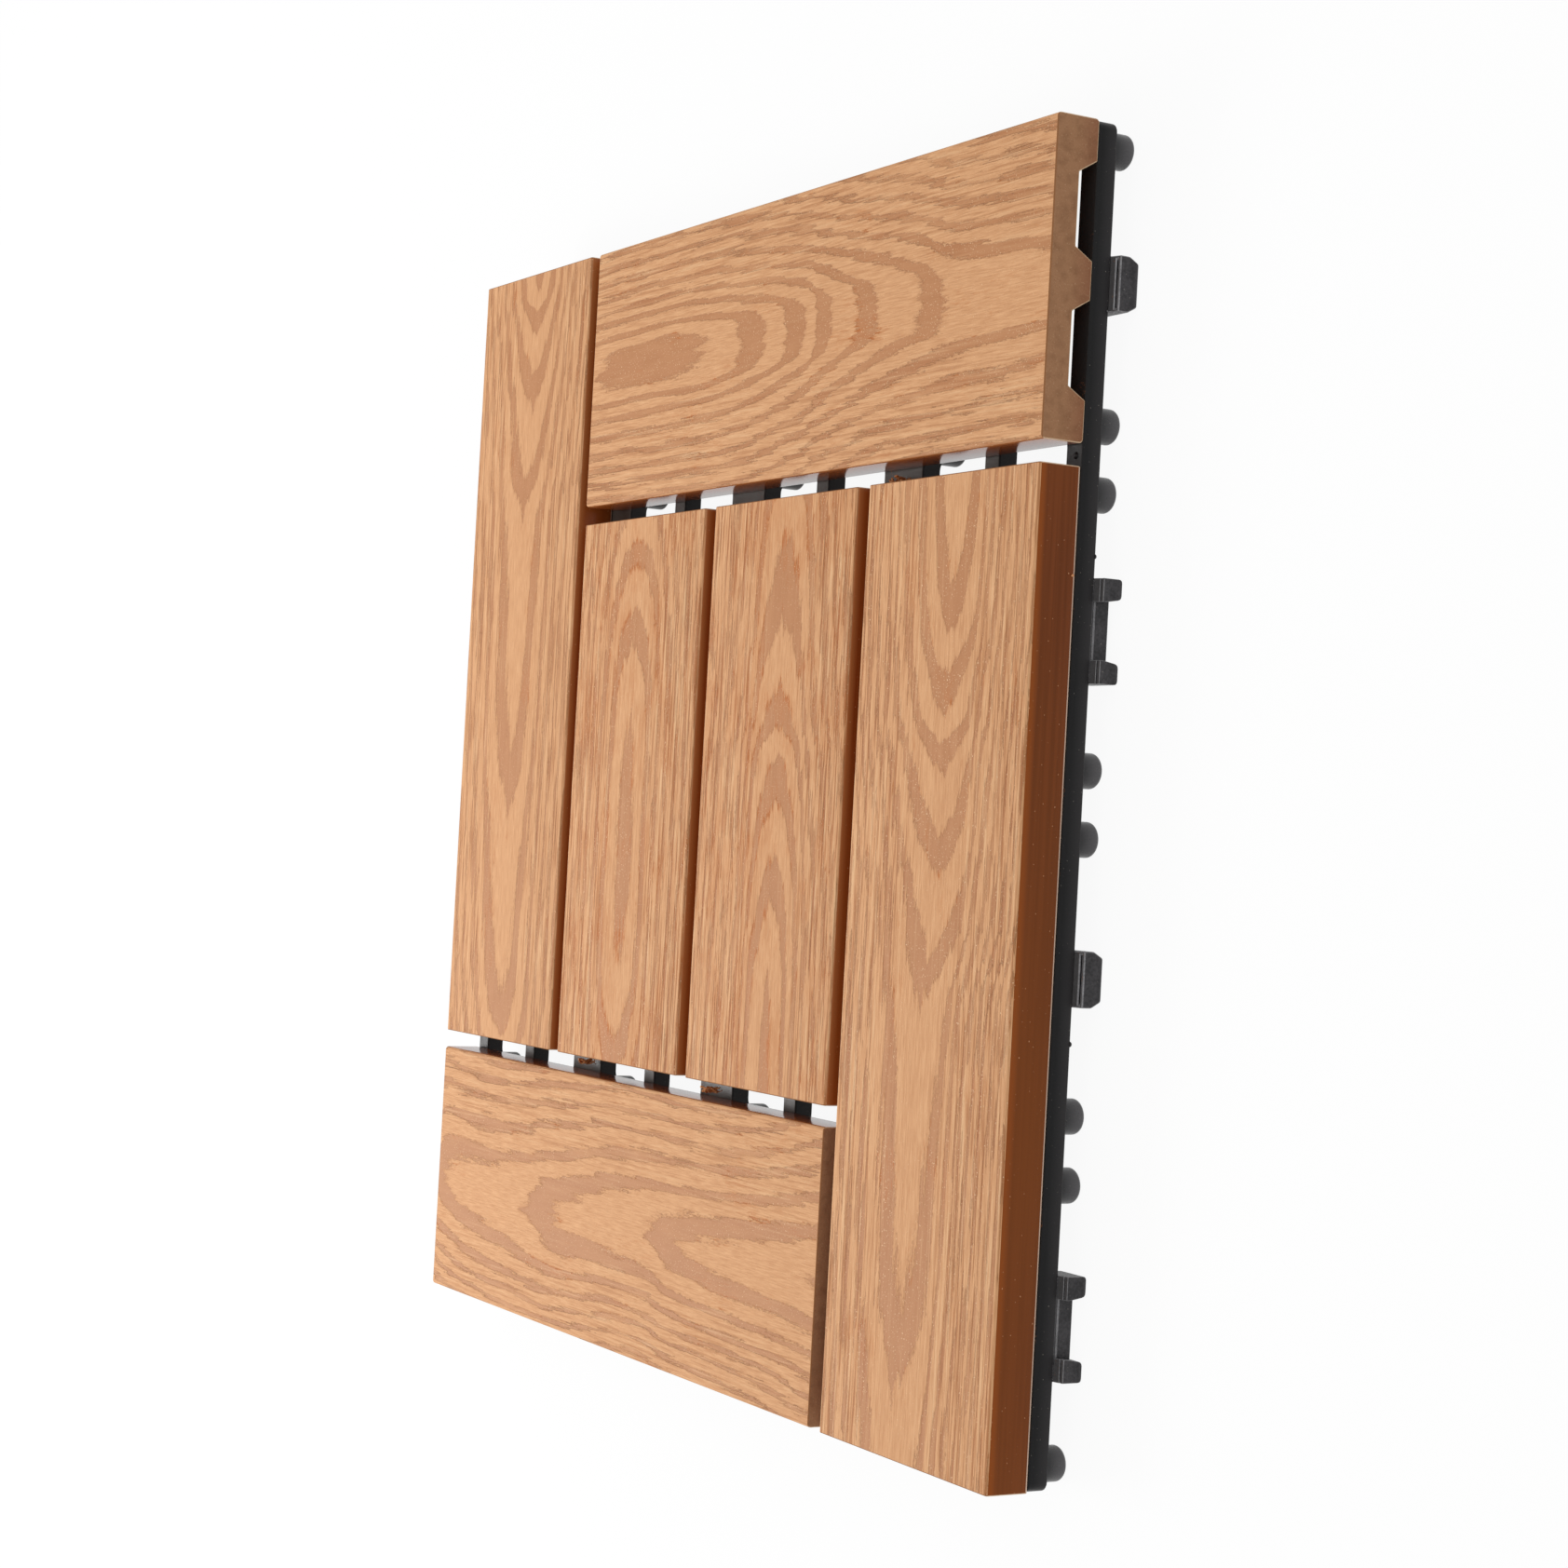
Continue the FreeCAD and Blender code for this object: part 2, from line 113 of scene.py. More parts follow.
camera = bpy.data.objects.new("camera", bpy.data.cameras.new("camera"))
scene.collection.objects.link(camera)
camera.data.lens = cameraPlan["lens"]
camera.data.clip_start, camera.data.clip_end = map(mm, cameraPlan["clip"])
back = (mm(*cameraPlan["place"]) - mm(*cameraPlan["aim"])).normalized()
right = Vector(cameraPlan["up"]).cross(back).normalized()
camera.matrix_world = Matrix.Translation(mm(*cameraPlan["place"])) @ Matrix(
    (right, back.cross(right), back)).transposed().to_4x4()
scene.camera = camera
scene.view_settings.view_transform = "Standard"
print("camera placed")


# Stage: white paper under the tile, an even sky and one large softbox at the lower left of the picture
stagePlan = dict(
    paperSide=6000, paper="#F4F4F4", ownWhite=0.93, sky=0.74,
    boxPlace=(-880, -330, 640), boxSide=500, boxWatts=7.4)


def seenDirectly(tree):
    # 1 where the camera, a reflection or glass sees a surface, and nought where its light falls on others
    path = addNode(tree, "LightPath")
    seen = addNode(tree, "Math", [path.outputs["Is Camera Ray"], path.outputs["Is Glossy Ray"]], operation="MAXIMUM")
    return addNode(tree, "Math", [seen, path.outputs["Is Transmission Ray"]], operation="MAXIMUM")


def mattWhitePaper(plan):
    # Matt white paper. The camera and reflections see mostly its own white, so its shadows stay faint
    material = bpy.data.materials.new("mattWhitePaper")
    material.use_nodes = True
    tree = material.node_tree
    tree.nodes.clear()
    share = addNode(tree, "Math", [seenDirectly(tree), plan["ownWhite"]], operation="MULTIPLY")
    matt = addNode(tree, "BsdfDiffuse", {"Color": plan["paper"]})
    white = addNode(tree, "Emission", {"Color": "#FFFFFF", "Strength": 1.0})
    addNode(tree, "OutputMaterial", [addNode(tree, "MixShader", [share, matt, white])])
    return material


def buildStage(plan):
    half = mm(plan["paperSide"]) / 2
    mesh = bpy.data.meshes.new("floor")
    mesh.from_pydata([(-half, -half, 0), (half, -half, 0), (half, half, 0), (-half, half, 0)], [], [(0, 1, 2, 3)])
    mesh.materials.append(mattWhitePaper(plan))
    floor = bpy.data.objects.new("floor", mesh)
    scene.collection.objects.link(floor)

    world = bpy.data.worlds.new("evenSky")
    scene.world = world
    world.use_nodes = True
    world.node_tree.nodes.clear()
    sky = addNode(world.node_tree, "Background", {"Color": "#FFFFFF", "Strength": plan["sky"]})
    white = addNode(world.node_tree, "Background", {"Color": "#FFFFFF", "Strength": 1.0})
    addNode(world.node_tree, "OutputWorld", [
        addNode(world.node_tree, "MixShader", [seenDirectly(world.node_tree), sky, white])])

    lamp = bpy.data.lights.new("softbox", "AREA")
    lamp.size = mm(plan["boxSide"])
    lamp.energy = plan["boxWatts"]
    box = bpy.data.objects.new("softbox", lamp)
    scene.collection.objects.link(box)
    box.location = mm(*plan["boxPlace"])
    box.rotation_mode = "QUATERNION"
    box.rotation_quaternion = box.location.to_track_quat("Z", "Y")


buildStage(stagePlan)
print("stage set")


def newPiece(name, mesh, nodes):
    # A piece that stands for its CAD nodes and rides with the tile
    piece = bpy.data.objects.new(name, mesh)
    scene.collection.objects.link(piece)
    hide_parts(*nodes)
    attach(piece, "root")
    return piece


def meshOf(name, shape):
    # The mesh of a shape built in bmesh, its faces turned outward
    bmesh.ops.recalc_face_normals(shape, faces=shape.faces)
    mesh = bpy.data.meshes.new(name)
    shape.to_mesh(mesh)
    shape.free()
    return mesh


def smoothByAngle(mesh, degrees):
    mesh.polygons.foreach_set("use_smooth", [True] * len(mesh.polygons))
    mesh.set_sharp_from_angle(angle=math.radians(degrees))


# Planks: one section all along, grooved underneath, with embossed tops and sawn ends. Here and below,
# edges that turn by less than smoothUnder degrees are shaded smooth
plankShape = dict(legWidth=9.4, ridgeWidth=8.6, flankRun=2.8, grooveDepth=4.6, arrisRadius=1.0, heelRadius=0.9,
                  arcSteps=6, sawnEase=0.25, easeSteps=2, easeOver=40, smoothUnder=25, embossedArris=0.6, outerBand=1)

# Each plank's figure is a ladder of rings, dark from a whole number to 0.42 above it.
# axis: the line that the figure is centred on, as (along, across). Along starts at the end with the
# least X or Y, across at the plank's middle, positive to the right or the front.
# onAxis: the ring number met going along that line. aside: the rings met going across from it, on a
# stretch where onAxis is nought. spread: how much closer together they lie at places along the plank.
# fine: how far the bands beside the figure break up into fine strokes. rust: how many rusty fibres show.
planks = dict(
    plankLeft=dict(
        node="long_plank_left", centre=(-1.5, 0.5), turn=0, length=tile["longPlank"],
        seed=1.3, rust=0.2, fine=0.9,
        axis=[(0, 3.4), (66, 0), (155, -0.6), (187, 1.6), (224, 1.4)],
        onAxis=[(0, 5.6), (1.7, 5.42), (13.7, 5), (65.7, 4.42), (85.7, 4), (154.7, 3.42), (163.7, 3),
                (184.7, 2.42), (193.7, 2), (206, 1.42), (212.7, 1), (218, 0.42), (224, 0.2)],
        aside=[(-38, 6.3), (-32.6, 5.06), (-27.6, 3.87), (-20.6, 2.62), (-11.6, 1.18), (0, 0), (9.4, 1.18),
               (17.4, 2.62), (23, 3.87), (28.4, 5.06), (33.4, 6.2), (38, 7.2)],
        spread=[(0, 1)]),
    plankBack=dict(
        node="long_plank_back", centre=(0.5, 1.5), turn=-90, length=tile["longPlank"],
        seed=4.1, rust=0.25, fine=0.6,
        axis=[(0, -1.2), (36, -1.2), (90, -0.6), (148, -1.2), (183, 0.8), (224, 2.4)],
        onAxis=[(0, 0.5), (4, 0.42), (36, 0.2), (67, 0.42), (86, 1), (98, 1.42), (109, 2), (118, 2.42), (124, 3),
                (131, 3.42), (143, 4), (153, 4.42), (172, 5), (183, 5.42), (224, 5.85)],
        aside=[(-38, 8.4), (-33, 7.2), (-29, 6.2), (-25, 5.2), (-21, 4.2), (-17.4, 3.2), (-14, 2.2), (-9.6, 1.2),
               (-6, 0.34), (0, 0), (6, 0.34), (9.4, 1.2), (13.8, 2.2), (18.8, 3.2), (23.6, 4.2), (27.6, 5.2),
               (31.8, 6.2), (38, 7.7)],
        spread=[(0, 1)]),
    plankRight=dict(
        node="long_plank_right", centre=(1.5, -0.5), turn=0, length=tile["longPlank"],
        seed=7.7, rust=0.3, fine=1.0,
        axis=[(0, -2.6), (15, -2.6), (103, -1), (133, 3.4), (170, 2.4), (193, 3.4), (224, 3.4)],
        onAxis=[(0, 6.6), (15.1, 6.42), (34.7, 6), (103.1, 5.42), (114.7, 5), (132.7, 4.42), (141.7, 4),
                (156.1, 3.42), (162.7, 3), (169.3, 2.42), (178.1, 2), (187.7, 1.42), (198.7, 1), (224, 0.5)],
        aside=[(-38, 7.8), (-30.4, 5.63), (-26, 4.37), (-21, 3.05), (-12, 1.5), (0, 0), (11, 1.5), (15.4, 3.05),
               (20.2, 4.37), (23.8, 5.63), (27.2, 6.8), (30.6, 8), (34, 9.2), (40, 11)],
        spread=[(0, 1)]),
    plankFront=dict(
        node="long_plank_front", centre=(-0.5, -1.5), turn=-90, length=tile["longPlank"],
        seed=9.2, rust=0.15, fine=0.5,
        axis=[(0, 1), (60, 5), (134, 0.8), (153, 2.4), (224, 1)],
        onAxis=[(0, 3.3), (5, 3), (60, 2.42), (78, 2), (134, 1.42), (153, 1), (221, 0.42), (224, 0.38)],
        aside=[(-42, 6.8), (-33, 4.8), (-27.5, 3.7), (-22, 2.7), (-17.5, 2.1), (-13.5, 1.4), (-10, 0.9), (0, 0),
               (9, 0.9), (12.5, 1.4), (16.5, 2.2), (20, 2.9), (24, 3.9), (28, 5), (36, 7)],
        spread=[(0, 0.95), (100, 1), (150, 1.06), (224, 0.9)]),
    plankCentreLeft=dict(
        node="centre_plank_left", centre=(-0.5, 0), turn=0, length=tile["centrePlank"],
        seed=2.9, rust=1.3, fine=1.2,
        axis=[(0, -1), (60, -1.2), (148, -1.6)],
        onAxis=[(0, 1.3), (7.5, 1), (30.5, 0.42), (61.5, 0.2), (92, 0.42), (112.5, 1), (122.5, 1.42), (134.5, 2),
                (141.5, 2.42), (148, 2.8)],
        aside=[(-38, 7), (-30.4, 5.2), (-22.4, 3.2), (-12, 1.2), (-5.5, 0.36), (0, 0), (5.5, 0.36), (12, 1.2),
               (17.2, 2.2), (22.6, 3.2), (32.6, 5.2), (38, 6.2)],
        spread=[(0, 1)]),
    plankCentreRight=dict(
        node="centre_plank_right", centre=(0.5, 0), turn=0, length=tile["centrePlank"],
        seed=6.4, rust=1.25, fine=1.2,
        axis=[(0, 5.8), (50, 5.4), (95, 4), (148, 3.4)],
        onAxis=[(0, 0.2), (26.5, 0.42), (47.5, 1), (58.5, 1.42), (72.5, 2), (83, 2.42), (90.5, 3), (100.5, 3.42),
                (117.5, 4), (138.5, 4.42), (148, 4.7)],
        aside=[(-42, 8), (-31.4, 6.1), (-24.4, 5.1), (-19, 4.08), (-16.6, 3.06), (-13.4, 2.04), (-9.4, 1), (0, 0),
               (8, 1), (12.6, 2.04), (16.6, 3.06), (21.6, 4.08), (30, 6.1), (36, 7.4)],
        spread=[(0, 1)]),
)


def plankSection(shape):
    # Half of the section from the ridge's middle round to the arris, then its mirror: (across, up)
    half = tile["plankWidth"] / 2
    ridge, leg = shape["ridgeWidth"] / 2, half - shape["legWidth"]
    flank, depth = shape["flankRun"], shape["grooveDepth"]
    outline = [(ridge, 0), (ridge + flank, depth), (leg - flank, depth), (leg, 0)]
    for radius, height, start in ((shape["heelRadius"], shape["heelRadius"], -90),
                                  (shape["arrisRadius"], tile["plankThick"] - shape["arrisRadius"], 0)):
        for step in range(shape["arcSteps"] + 1):
            angle = math.radians(start + 90 * step / shape["arcSteps"])
            outline.append((half - radius + radius * math.cos(angle), height + radius * math.sin(angle)))
    return outline + [(-across, up) for across, up in reversed(outline)]


def plankPlace(plan):
    x, y = (share * tile["pitch"] for share in plan["centre"])
    turn = Matrix.Rotation(math.radians(plan["turn"]), 4, "Z")
    return Matrix.Translation(mm(x, y, tile["baseHeight"])) @ turn


def buildPlank(name, plan, finishes):
    # finishes: the top, the skin outside, the sawn ends, their burr, and the skin in the gaps, drawn lighter as
    # painted light
    section = plankSection(plankShape)
    half = plan["length"] / 2
    place = plankPlace(plan)
    shape = bmesh.new()
    ends = [[shape.verts.new(place @ mm(across, end, up)) for across, up in section] for end in (-half, half)]
    topStart = tile["plankThick"] - plankShape["embossedArris"] * plankShape["arrisRadius"]
    for index, (across, up) in enumerate(section):
        after = (index + 1) % len(section)
        strip = shape.faces.new((ends[0][index], ends[0][after], ends[1][after], ends[1][index]))
        outermost = max(map(abs, strip.calc_center_median()[:2])) > mm(tile["side"] / 2 - plankShape["outerBand"])
        strip.material_index = 0 if min(up, section[after][1]) > topStart else 1 if outermost else 4
    for end in ends:
        shape.faces.new(end).material_index = 2
    mesh = meshOf(name, shape)
    smoothByAngle(mesh, plankShape["smoothUnder"])
    for finish in finishes:
        mesh.materials.append(finish)
    plank = newPiece(name, mesh, [plan["node"]])
    ease = plank.modifiers.new("easedEnds", "BEVEL")
    ease.width = mm(plankShape["sawnEase"])
    ease.segments = plankShape["easeSteps"]
    ease.limit_method = "ANGLE"
    ease.angle_limit = math.radians(plankShape["easeOver"])
    ease.harden_normals = True
    ease.material = 3
    return plank


# The embossed top, brushed after embossing. The dark bands are the roller's smooth recesses
grain = dict(
    # The rings. What changes from the figure's middle out to its flank is (least, most), and flank says how
    # many mm off the axis the flank starts and is full. calmTips is (mm off the axis, raggedness left on it)
    darkShare=0.42, flankShare=0.30, flank=(6, 26), tipPower=1.4, wanderBy=1.4, raggedBy=0.16, calmTips=(11, 0.35),
    dutyBy=0.38, edgeSharp=24, slopeSharp=8, rimSharp=14, fadeShare=(0.15, 0.6), embossDepth=(0.025, 0.12),
    grooved=(0.12, 0.66), groovedBy=0.6, grooveDepth=0.16, brushDepth=0.18,
    # Random grains: (across, along) in mm, detail, roughness and a step for the seed
    wander=(10, 50, 2, 0.5, 0), ragged=(0.4, 1.8, 3, 0.6, 3), strokes=(1.0, 26, 2, 0.6, 5), duty=(2.0, 24, 2, 0.5, 7),
    fade=(4, 34, 2, 0.6, 8), brush=(0.3, 6, 3, 0.62, 9), grooves=(0.7, 30, 2, 0.55, 11), mottle=(3, 9, 3, 0.5, 13),
    pores=(0.45, 0.9, 1, 0.5, 15), fibres=(0.45, 5.0, 2, 0.6, 17), patches=(9, 22, 2, 0.5, 19),
    specks=(0.30, 0.39, 1, 0.5, 23), seedShift=(13.7, 7.1, 1),
    # Gains: (times, plus)
    fadeGain=(3.2, -1.35), brushGain=(3.0, -1.0), valleyShadeGain=(-16, 7.2), ridgeGain=(14, -8.3), poreGain=(7, -3.7),
    rimGain=(0.5, 0.06), rustGain=(18, -22.4), rustMore=3.0, nearRimGain=(0.75, 0.25), speckGain=(16, -12.3),
    speckBand=0.9, speckPatch=1.2, roughnessGain=(-0.1, 0.75),
    light="#E2AD7E", lightShade="#CB9366", dark="#B27A4F", darkPale="#BE855B", valleyShade="#A5663A", ridge="#E9BD8F",
    rim="#9C6238", rust="#B96C33", pale="#F2CFA6")


def plankMillimetres(tree, plan):
    # The plank's own frame: X across, Y along, both from its middle, Z up from its underside
    back = plankPlace(plan).inverted()
    where = addNode(tree, "TexCoord").outputs["Object"]
    return addNode(tree, "Mapping", {
        "Vector": where, "Location": back.translation * 1000, "Rotation": back.to_euler(), "Scale": (1000,) * 3})


def grains(tree, where, plan, name):
    # Soft random grains of one of the sizes in grain. Each seed looks at another part of the noise
    across, along, detail, roughness, step = grain[name]
    scaled = addNode(tree, "Mapping", {
        "Vector": where, "Location": [(plan["seed"] + step) * shift for shift in grain["seedShift"]],
        "Scale": (1 / across, 1 / along, 1 / across)})
    return addNode(tree, "TexNoise", {
        "Vector": scaled, "Scale": 1.0, "Detail": detail, "Roughness": roughness}).outputs[0]


def measuredLine(tree, source, points, corner=None):
    # The value that a smooth line through the measured points has at source, with one sharp corner
    first, last = points[0][0], points[-1][0]
    values = [value for _, value in points]
    low, span = min(values), max(values) - min(values)
    if span == 0:
        return low
    share = addNode(tree, "MapRange", {"Value": source, "From Min": first, "From Max": last})
    curve = addNode(tree, "FloatCurve", {"Value": share})
    line = curve.mapping.curves[0]
    places = [((at - first) / (last - first), (value - low) / span) for at, value in points]
    line.points[0].location, line.points[1].location = places[0], places[-1]
    for place in places[1:-1]:
        line.points.new(*place)
    for point, (at, _) in zip(line.points, points):
        point.handle_type = "VECTOR" if at == corner else "AUTO_CLAMPED"
    curve.mapping.update()
    return addNode(tree, "Math", [curve, span, low], operation="MULTIPLY_ADD")


def figureRings(tree, where, plan):
    # The ring number at each spot of a plank's top, and how far out on the figure's flank the spot is
    parts = addNode(tree, "SeparateXYZ", [where])
    across, middle = parts.outputs[0], parts.outputs[1]
    along = addNode(tree, "Math", [middle, plan["length"] / 2], operation="ADD")
    wander = addNode(tree, "Math", [
        grains(tree, where, plan, "wander"), 2 * grain["wanderBy"], -grain["wanderBy"]], operation="MULTIPLY_ADD")
    across = addNode(tree, "Math", [across, wander], operation="ADD")
    offAxis = addNode(tree, "Math", [across, measuredLine(tree, along, plan["axis"])], operation="SUBTRACT")
    offAxis = addNode(tree, "Math", [offAxis, measuredLine(tree, along, plan["spread"])], operation="MULTIPLY")
    aside = addNode(tree, "Math", [offAxis], operation="ABSOLUTE")
    ringsAside, ringsAlong = [
        addNode(tree, "Math", [met, grain["tipPower"]], operation="POWER")
        for met in (measuredLine(tree, offAxis, plan["aside"], corner=0), measuredLine(tree, along, plan["onAxis"]))]
    rings = addNode(tree, "Math", [ringsAside, ringsAlong], operation="ADD")
    rings = addNode(tree, "Math", [rings, 1 / grain["tipPower"]], operation="POWER")
    # The bands' edges are ragged, least at the tips, and beside the figure the bands break into strokes
    clean = addNode(tree, "MapRange", {
        "Value": aside, "From Max": grain["calmTips"][0], "To Min": grain["calmTips"][1]})
    onFlank = addNode(tree, "MapRange", {
        "Value": aside, "From Min": grain["flank"][0], "From Max": grain["flank"][1]})
    for name, amount, share in (("ragged", grain["raggedBy"], clean), ("strokes", plan["fine"], onFlank)):
        jitter = grains(tree, where, plan, name)
        jitter = addNode(tree, "Math", [jitter, 2 * amount, -amount], operation="MULTIPLY_ADD")
        rings = addNode(tree, "Math", [jitter, share, rings], operation="MULTIPLY_ADD")
    return rings, onFlank


def embossedTop(name, plan):
    # Wood-plastic composite embossed with an oak figure and brushed: it gives smooth darker
    # bands with pale specks, and between them lighter, finely scratched lands
    material, tree, shader = newMaterial(name, IOR=1.45, Specular_IOR_Level=0.25)
    where = plankMillimetres(tree, plan)
    rings, onFlank = figureRings(tree, where, plan)
    shifted = addNode(tree, "Math", [rings, (1 - grain["darkShare"]) / 2], operation="ADD")
    phase = addNode(tree, "Math", [shifted], operation="FRACT")
    fromMiddle = addNode(tree, "Math", [phase, 0.5], operation="SUBTRACT")
    fromMiddle = addNode(tree, "Math", [fromMiddle], operation="ABSOLUTE")
    duty = addNode(tree, "Math", [
        grains(tree, where, plan, "duty"), grain["dutyBy"], (grain["darkShare"] - grain["dutyBy"]) / 2],
        operation="MULTIPLY_ADD")
    duty = addNode(tree, "Math", [
        onFlank, (grain["flankShare"] - grain["darkShare"]) / 2, duty], operation="MULTIPLY_ADD")
    inside = addNode(tree, "Math", [duty, fromMiddle], operation="SUBTRACT")
    fromEdge = addNode(tree, "Math", [inside], operation="ABSOLUTE")
    # Bands fade out in places, most of all on the flank
    fade = addNode(tree, "Math", [grains(tree, where, plan, "fade"), *grain["fadeGain"]], **clamped)
    most = addNode(tree, "MapRange", {
        "Value": onFlank, "To Min": grain["fadeShare"][0], "To Max": grain["fadeShare"][1]})
    fade = addNode(tree, "Math", [fade, most], operation="MULTIPLY")
    shown = addNode(tree, "Math", [1.0, fade], operation="SUBTRACT")
    shares = []
    for source, gain, offset in ((inside, grain["edgeSharp"], 0.5), (inside, grain["slopeSharp"], 0.5),
                                 (fromEdge, -grain["rimSharp"], 1)):
        share = addNode(tree, "Math", [source, gain, offset], **clamped)
        shares.append(addNode(tree, "Math", [share, shown], operation="MULTIPLY"))
    band, slopes, rim = shares

    brush = grains(tree, where, plan, "brush")
    streaks = addNode(tree, "Math", [brush, *grain["brushGain"]], **clamped)
    recess = layered(tree, grain["dark"], (grains(tree, where, plan, "mottle"), grain["darkPale"]))
    layers = [(streaks, grain["light"]), (band, recess)]

    # Long fine grooves follow the grain, deepest beside the figure, with raised fibres between them. The grooves'
    # darker tone is painted shade and the fibres' pale tone is a painted highlight, laid over their bumps
    grooves = grains(tree, where, plan, "grooves")
    least, most = (share * plan["fine"] for share in grain["grooved"])
    grooved = addNode(tree, "MapRange", {
        "Value": onFlank, "From Max": grain["groovedBy"], "To Min": least, "To Max": most})
    # The first tone is painted shade in the grooves, the second a painted highlight on the fibres
    for tone in ("valleyShade", "ridge"):
        share = addNode(tree, "Math", [grooves, *grain[tone + "Gain"]], **clamped)
        layers.append((addNode(tree, "Math", [share, grooved], operation="MULTIPLY"), grain[tone]))

    # Dark pores stand in rows along the bands' rims
    pores = addNode(tree, "Math", [grains(tree, where, plan, "pores"), *grain["poreGain"]], **clamped)
    pores = addNode(tree, "Math", [pores, *grain["rimGain"]], operation="MULTIPLY_ADD")
    layers.append((addNode(tree, "Math", [pores, rim], operation="MULTIPLY"), grain["rim"]))

    # Rust-coloured fibres gather along the bands' rims, in patches
    patches = grains(tree, where, plan, "patches")
    fibres = addNode(tree, "Math", [grains(tree, where, plan, "fibres"), patches], operation="ADD")
    gain, offset = grain["rustGain"]
    fibres = addNode(tree, "Math", [fibres, gain, offset + grain["rustMore"] * plan["rust"]], **clamped)
    nearRim = addNode(tree, "Math", [rim, *grain["nearRimGain"]], operation="MULTIPLY_ADD")
    layers.append((addNode(tree, "Math", [fibres, nearRim], operation="MULTIPLY"), grain["rust"]))

    # Pale specks stand on the bands and in the patches
    specks = addNode(tree, "Math", [
        grains(tree, where, plan, "specks"), *grain["speckGain"]], operation="MULTIPLY_ADD")
    specks = addNode(tree, "Math", [band, grain["speckBand"], specks], operation="MULTIPLY_ADD")
    layers.append((addNode(tree, "Math", [patches, grain["speckPatch"], specks], **clamped), grain["pale"]))

    # The figure is embossed lightly, the close bands beside it deeper
    shallow, deep = grain["embossDepth"]
    depth = addNode(tree, "MapRange", {"Value": onFlank, "To Min": -shallow, "To Max": -deep})
    level = addNode(tree, "Math", [slopes, depth], operation="MULTIPLY")
    onLand = addNode(tree, "Math", [1.0, band], operation="SUBTRACT")
    for marked, share, height in ((brush, onLand, grain["brushDepth"]), (grooves, grooved, grain["grooveDepth"])):
        marked = addNode(tree, "Math", [marked, share], operation="MULTIPLY")
        level = addNode(tree, "Math", [marked, height, level], operation="MULTIPLY_ADD")
    fillSockets(tree, shader, {
        "Base Color": layered(tree, grain["lightShade"], *layers),
        "Normal": addNode(tree, "Bump", {"Strength": 1.0, "Distance": mm(1), "Height": level}),
        "Roughness": addNode(tree, "Math", [band, *grain["roughnessGain"]], operation="MULTIPLY_ADD")})
    return material


# The planks' sides and sawn ends. The skin in the gaps is the same skin drawn lighter and more orange: painted light,
# standing for the light that reaches into the gaps.
# Bands are (where it starts, where it is full), in mm below the top or, at the heel and foot, over the
# base. Random blots are (sideways, up) in mm, detail and roughness
skinLook = dict(
    deep="#582508", streak="#723616", streaks=(70, 1.1, 3, 0.6), streakGain=(5.0, -2.0), streakDepth=0.04,
    warm="#80420F", drift=(140, 70, 1, 0.5), driftGain=(2.4, -0.8), arris="#8E4711", arrisTintAndLightBand=(2.4, 1.2),
    heel="#E2C4AE", heelBand=(0.75, 0.65), nick="#D29A72", nicks=(0.6, 0.4, 0, 0.5), nickGain=(18, -14.6))
# The skin in the gaps: the same skin drawn lighter and more orange, as painted light
litGapSkinLook = dict(skinLook, deep="#92451B", streak="#9C5022", warm="#A05524", arris="#AB6638")
sawnLook = dict(
    top="#A37857", foot="#946549", footBand=(0.5, 5.5), fibre=(0.42, 0.42, 2, 0.6), fibreDepth=0.1,
    fleck="#CDAA86", fleckGain=(7, -4.3), pit="#684329", pitGain=(-7, 2.6), blotch=(2.6, 2.6, 3, 0.5),
    blotchGain=(2.4, -1.1), marks=0.5, burr="#DCBFA2", burrDust=(1.2, 1.2, 3, 0.5), burrGain=(2.4, -0.7),
    torn="#9A6A46", tornBand=(0.7, 0.35))


def blots(tree, size, gain=None):
    # Soft random blots in the tile's own frame. A gain, which is (times, plus), makes them shares from 0 to 1
    across, up, detail, roughness = size
    scaled = addNode(tree, "Mapping", {
        "Vector": addNode(tree, "TexCoord").outputs["Object"],
        "Scale": (1000 / across, 1000 / across, 1000 / up)})
    noise = addNode(tree, "TexNoise", {
        "Vector": scaled, "Scale": 1.0, "Detail": detail, "Roughness": roughness}).outputs[0]
    return addNode(tree, "Math", [noise, *gain], **clamped) if gain else noise


def heightAbove(tree, low, high):
    # Nought at one height over the floor and 1 at the other, both in millimetres
    height = addNode(tree, "SeparateXYZ", [addNode(tree, "TexCoord").outputs["Object"]]).outputs[2]
    return addNode(tree, "MapRange", {"Value": height, "From Min": mm(low), "From Max": mm(high)})


def extrudedSkin(name, look):
    # Polymer skin as it left the die: glossy dark brown, with faint streaks along the length, a lighter orange band
    # under the arris that is partly the skin's tinge where it thins and partly painted light from above, and a pale
    # line along the rounded heel
    material, tree, shader = newMaterial(name, Roughness=0.16, IOR=1.5, Specular_IOR_Level=0.14)
    streaks = blots(tree, look["streaks"])
    fillSockets(tree, shader, {
        "Base Color": layered(
            tree, look["deep"],
            (addNode(tree, "Math", [streaks, *look["streakGain"]], **clamped), look["streak"]),
            (blots(tree, look["drift"], look["driftGain"]), look["warm"]),
            # The arris band is partly the skin's own orange and partly painted light from above
            (heightAbove(tree, *(tile["top"] - depth for depth in look["arrisTintAndLightBand"])), look["arris"]),
            (heightAbove(tree, *(tile["baseHeight"] + height for height in look["heelBand"])), look["heel"]),
            (blots(tree, look["nicks"], look["nickGain"]), look["nick"])),
        "Normal": addNode(tree, "Bump", {"Strength": 0.25, "Distance": mm(look["streakDepth"]), "Height": streaks})})
    return material


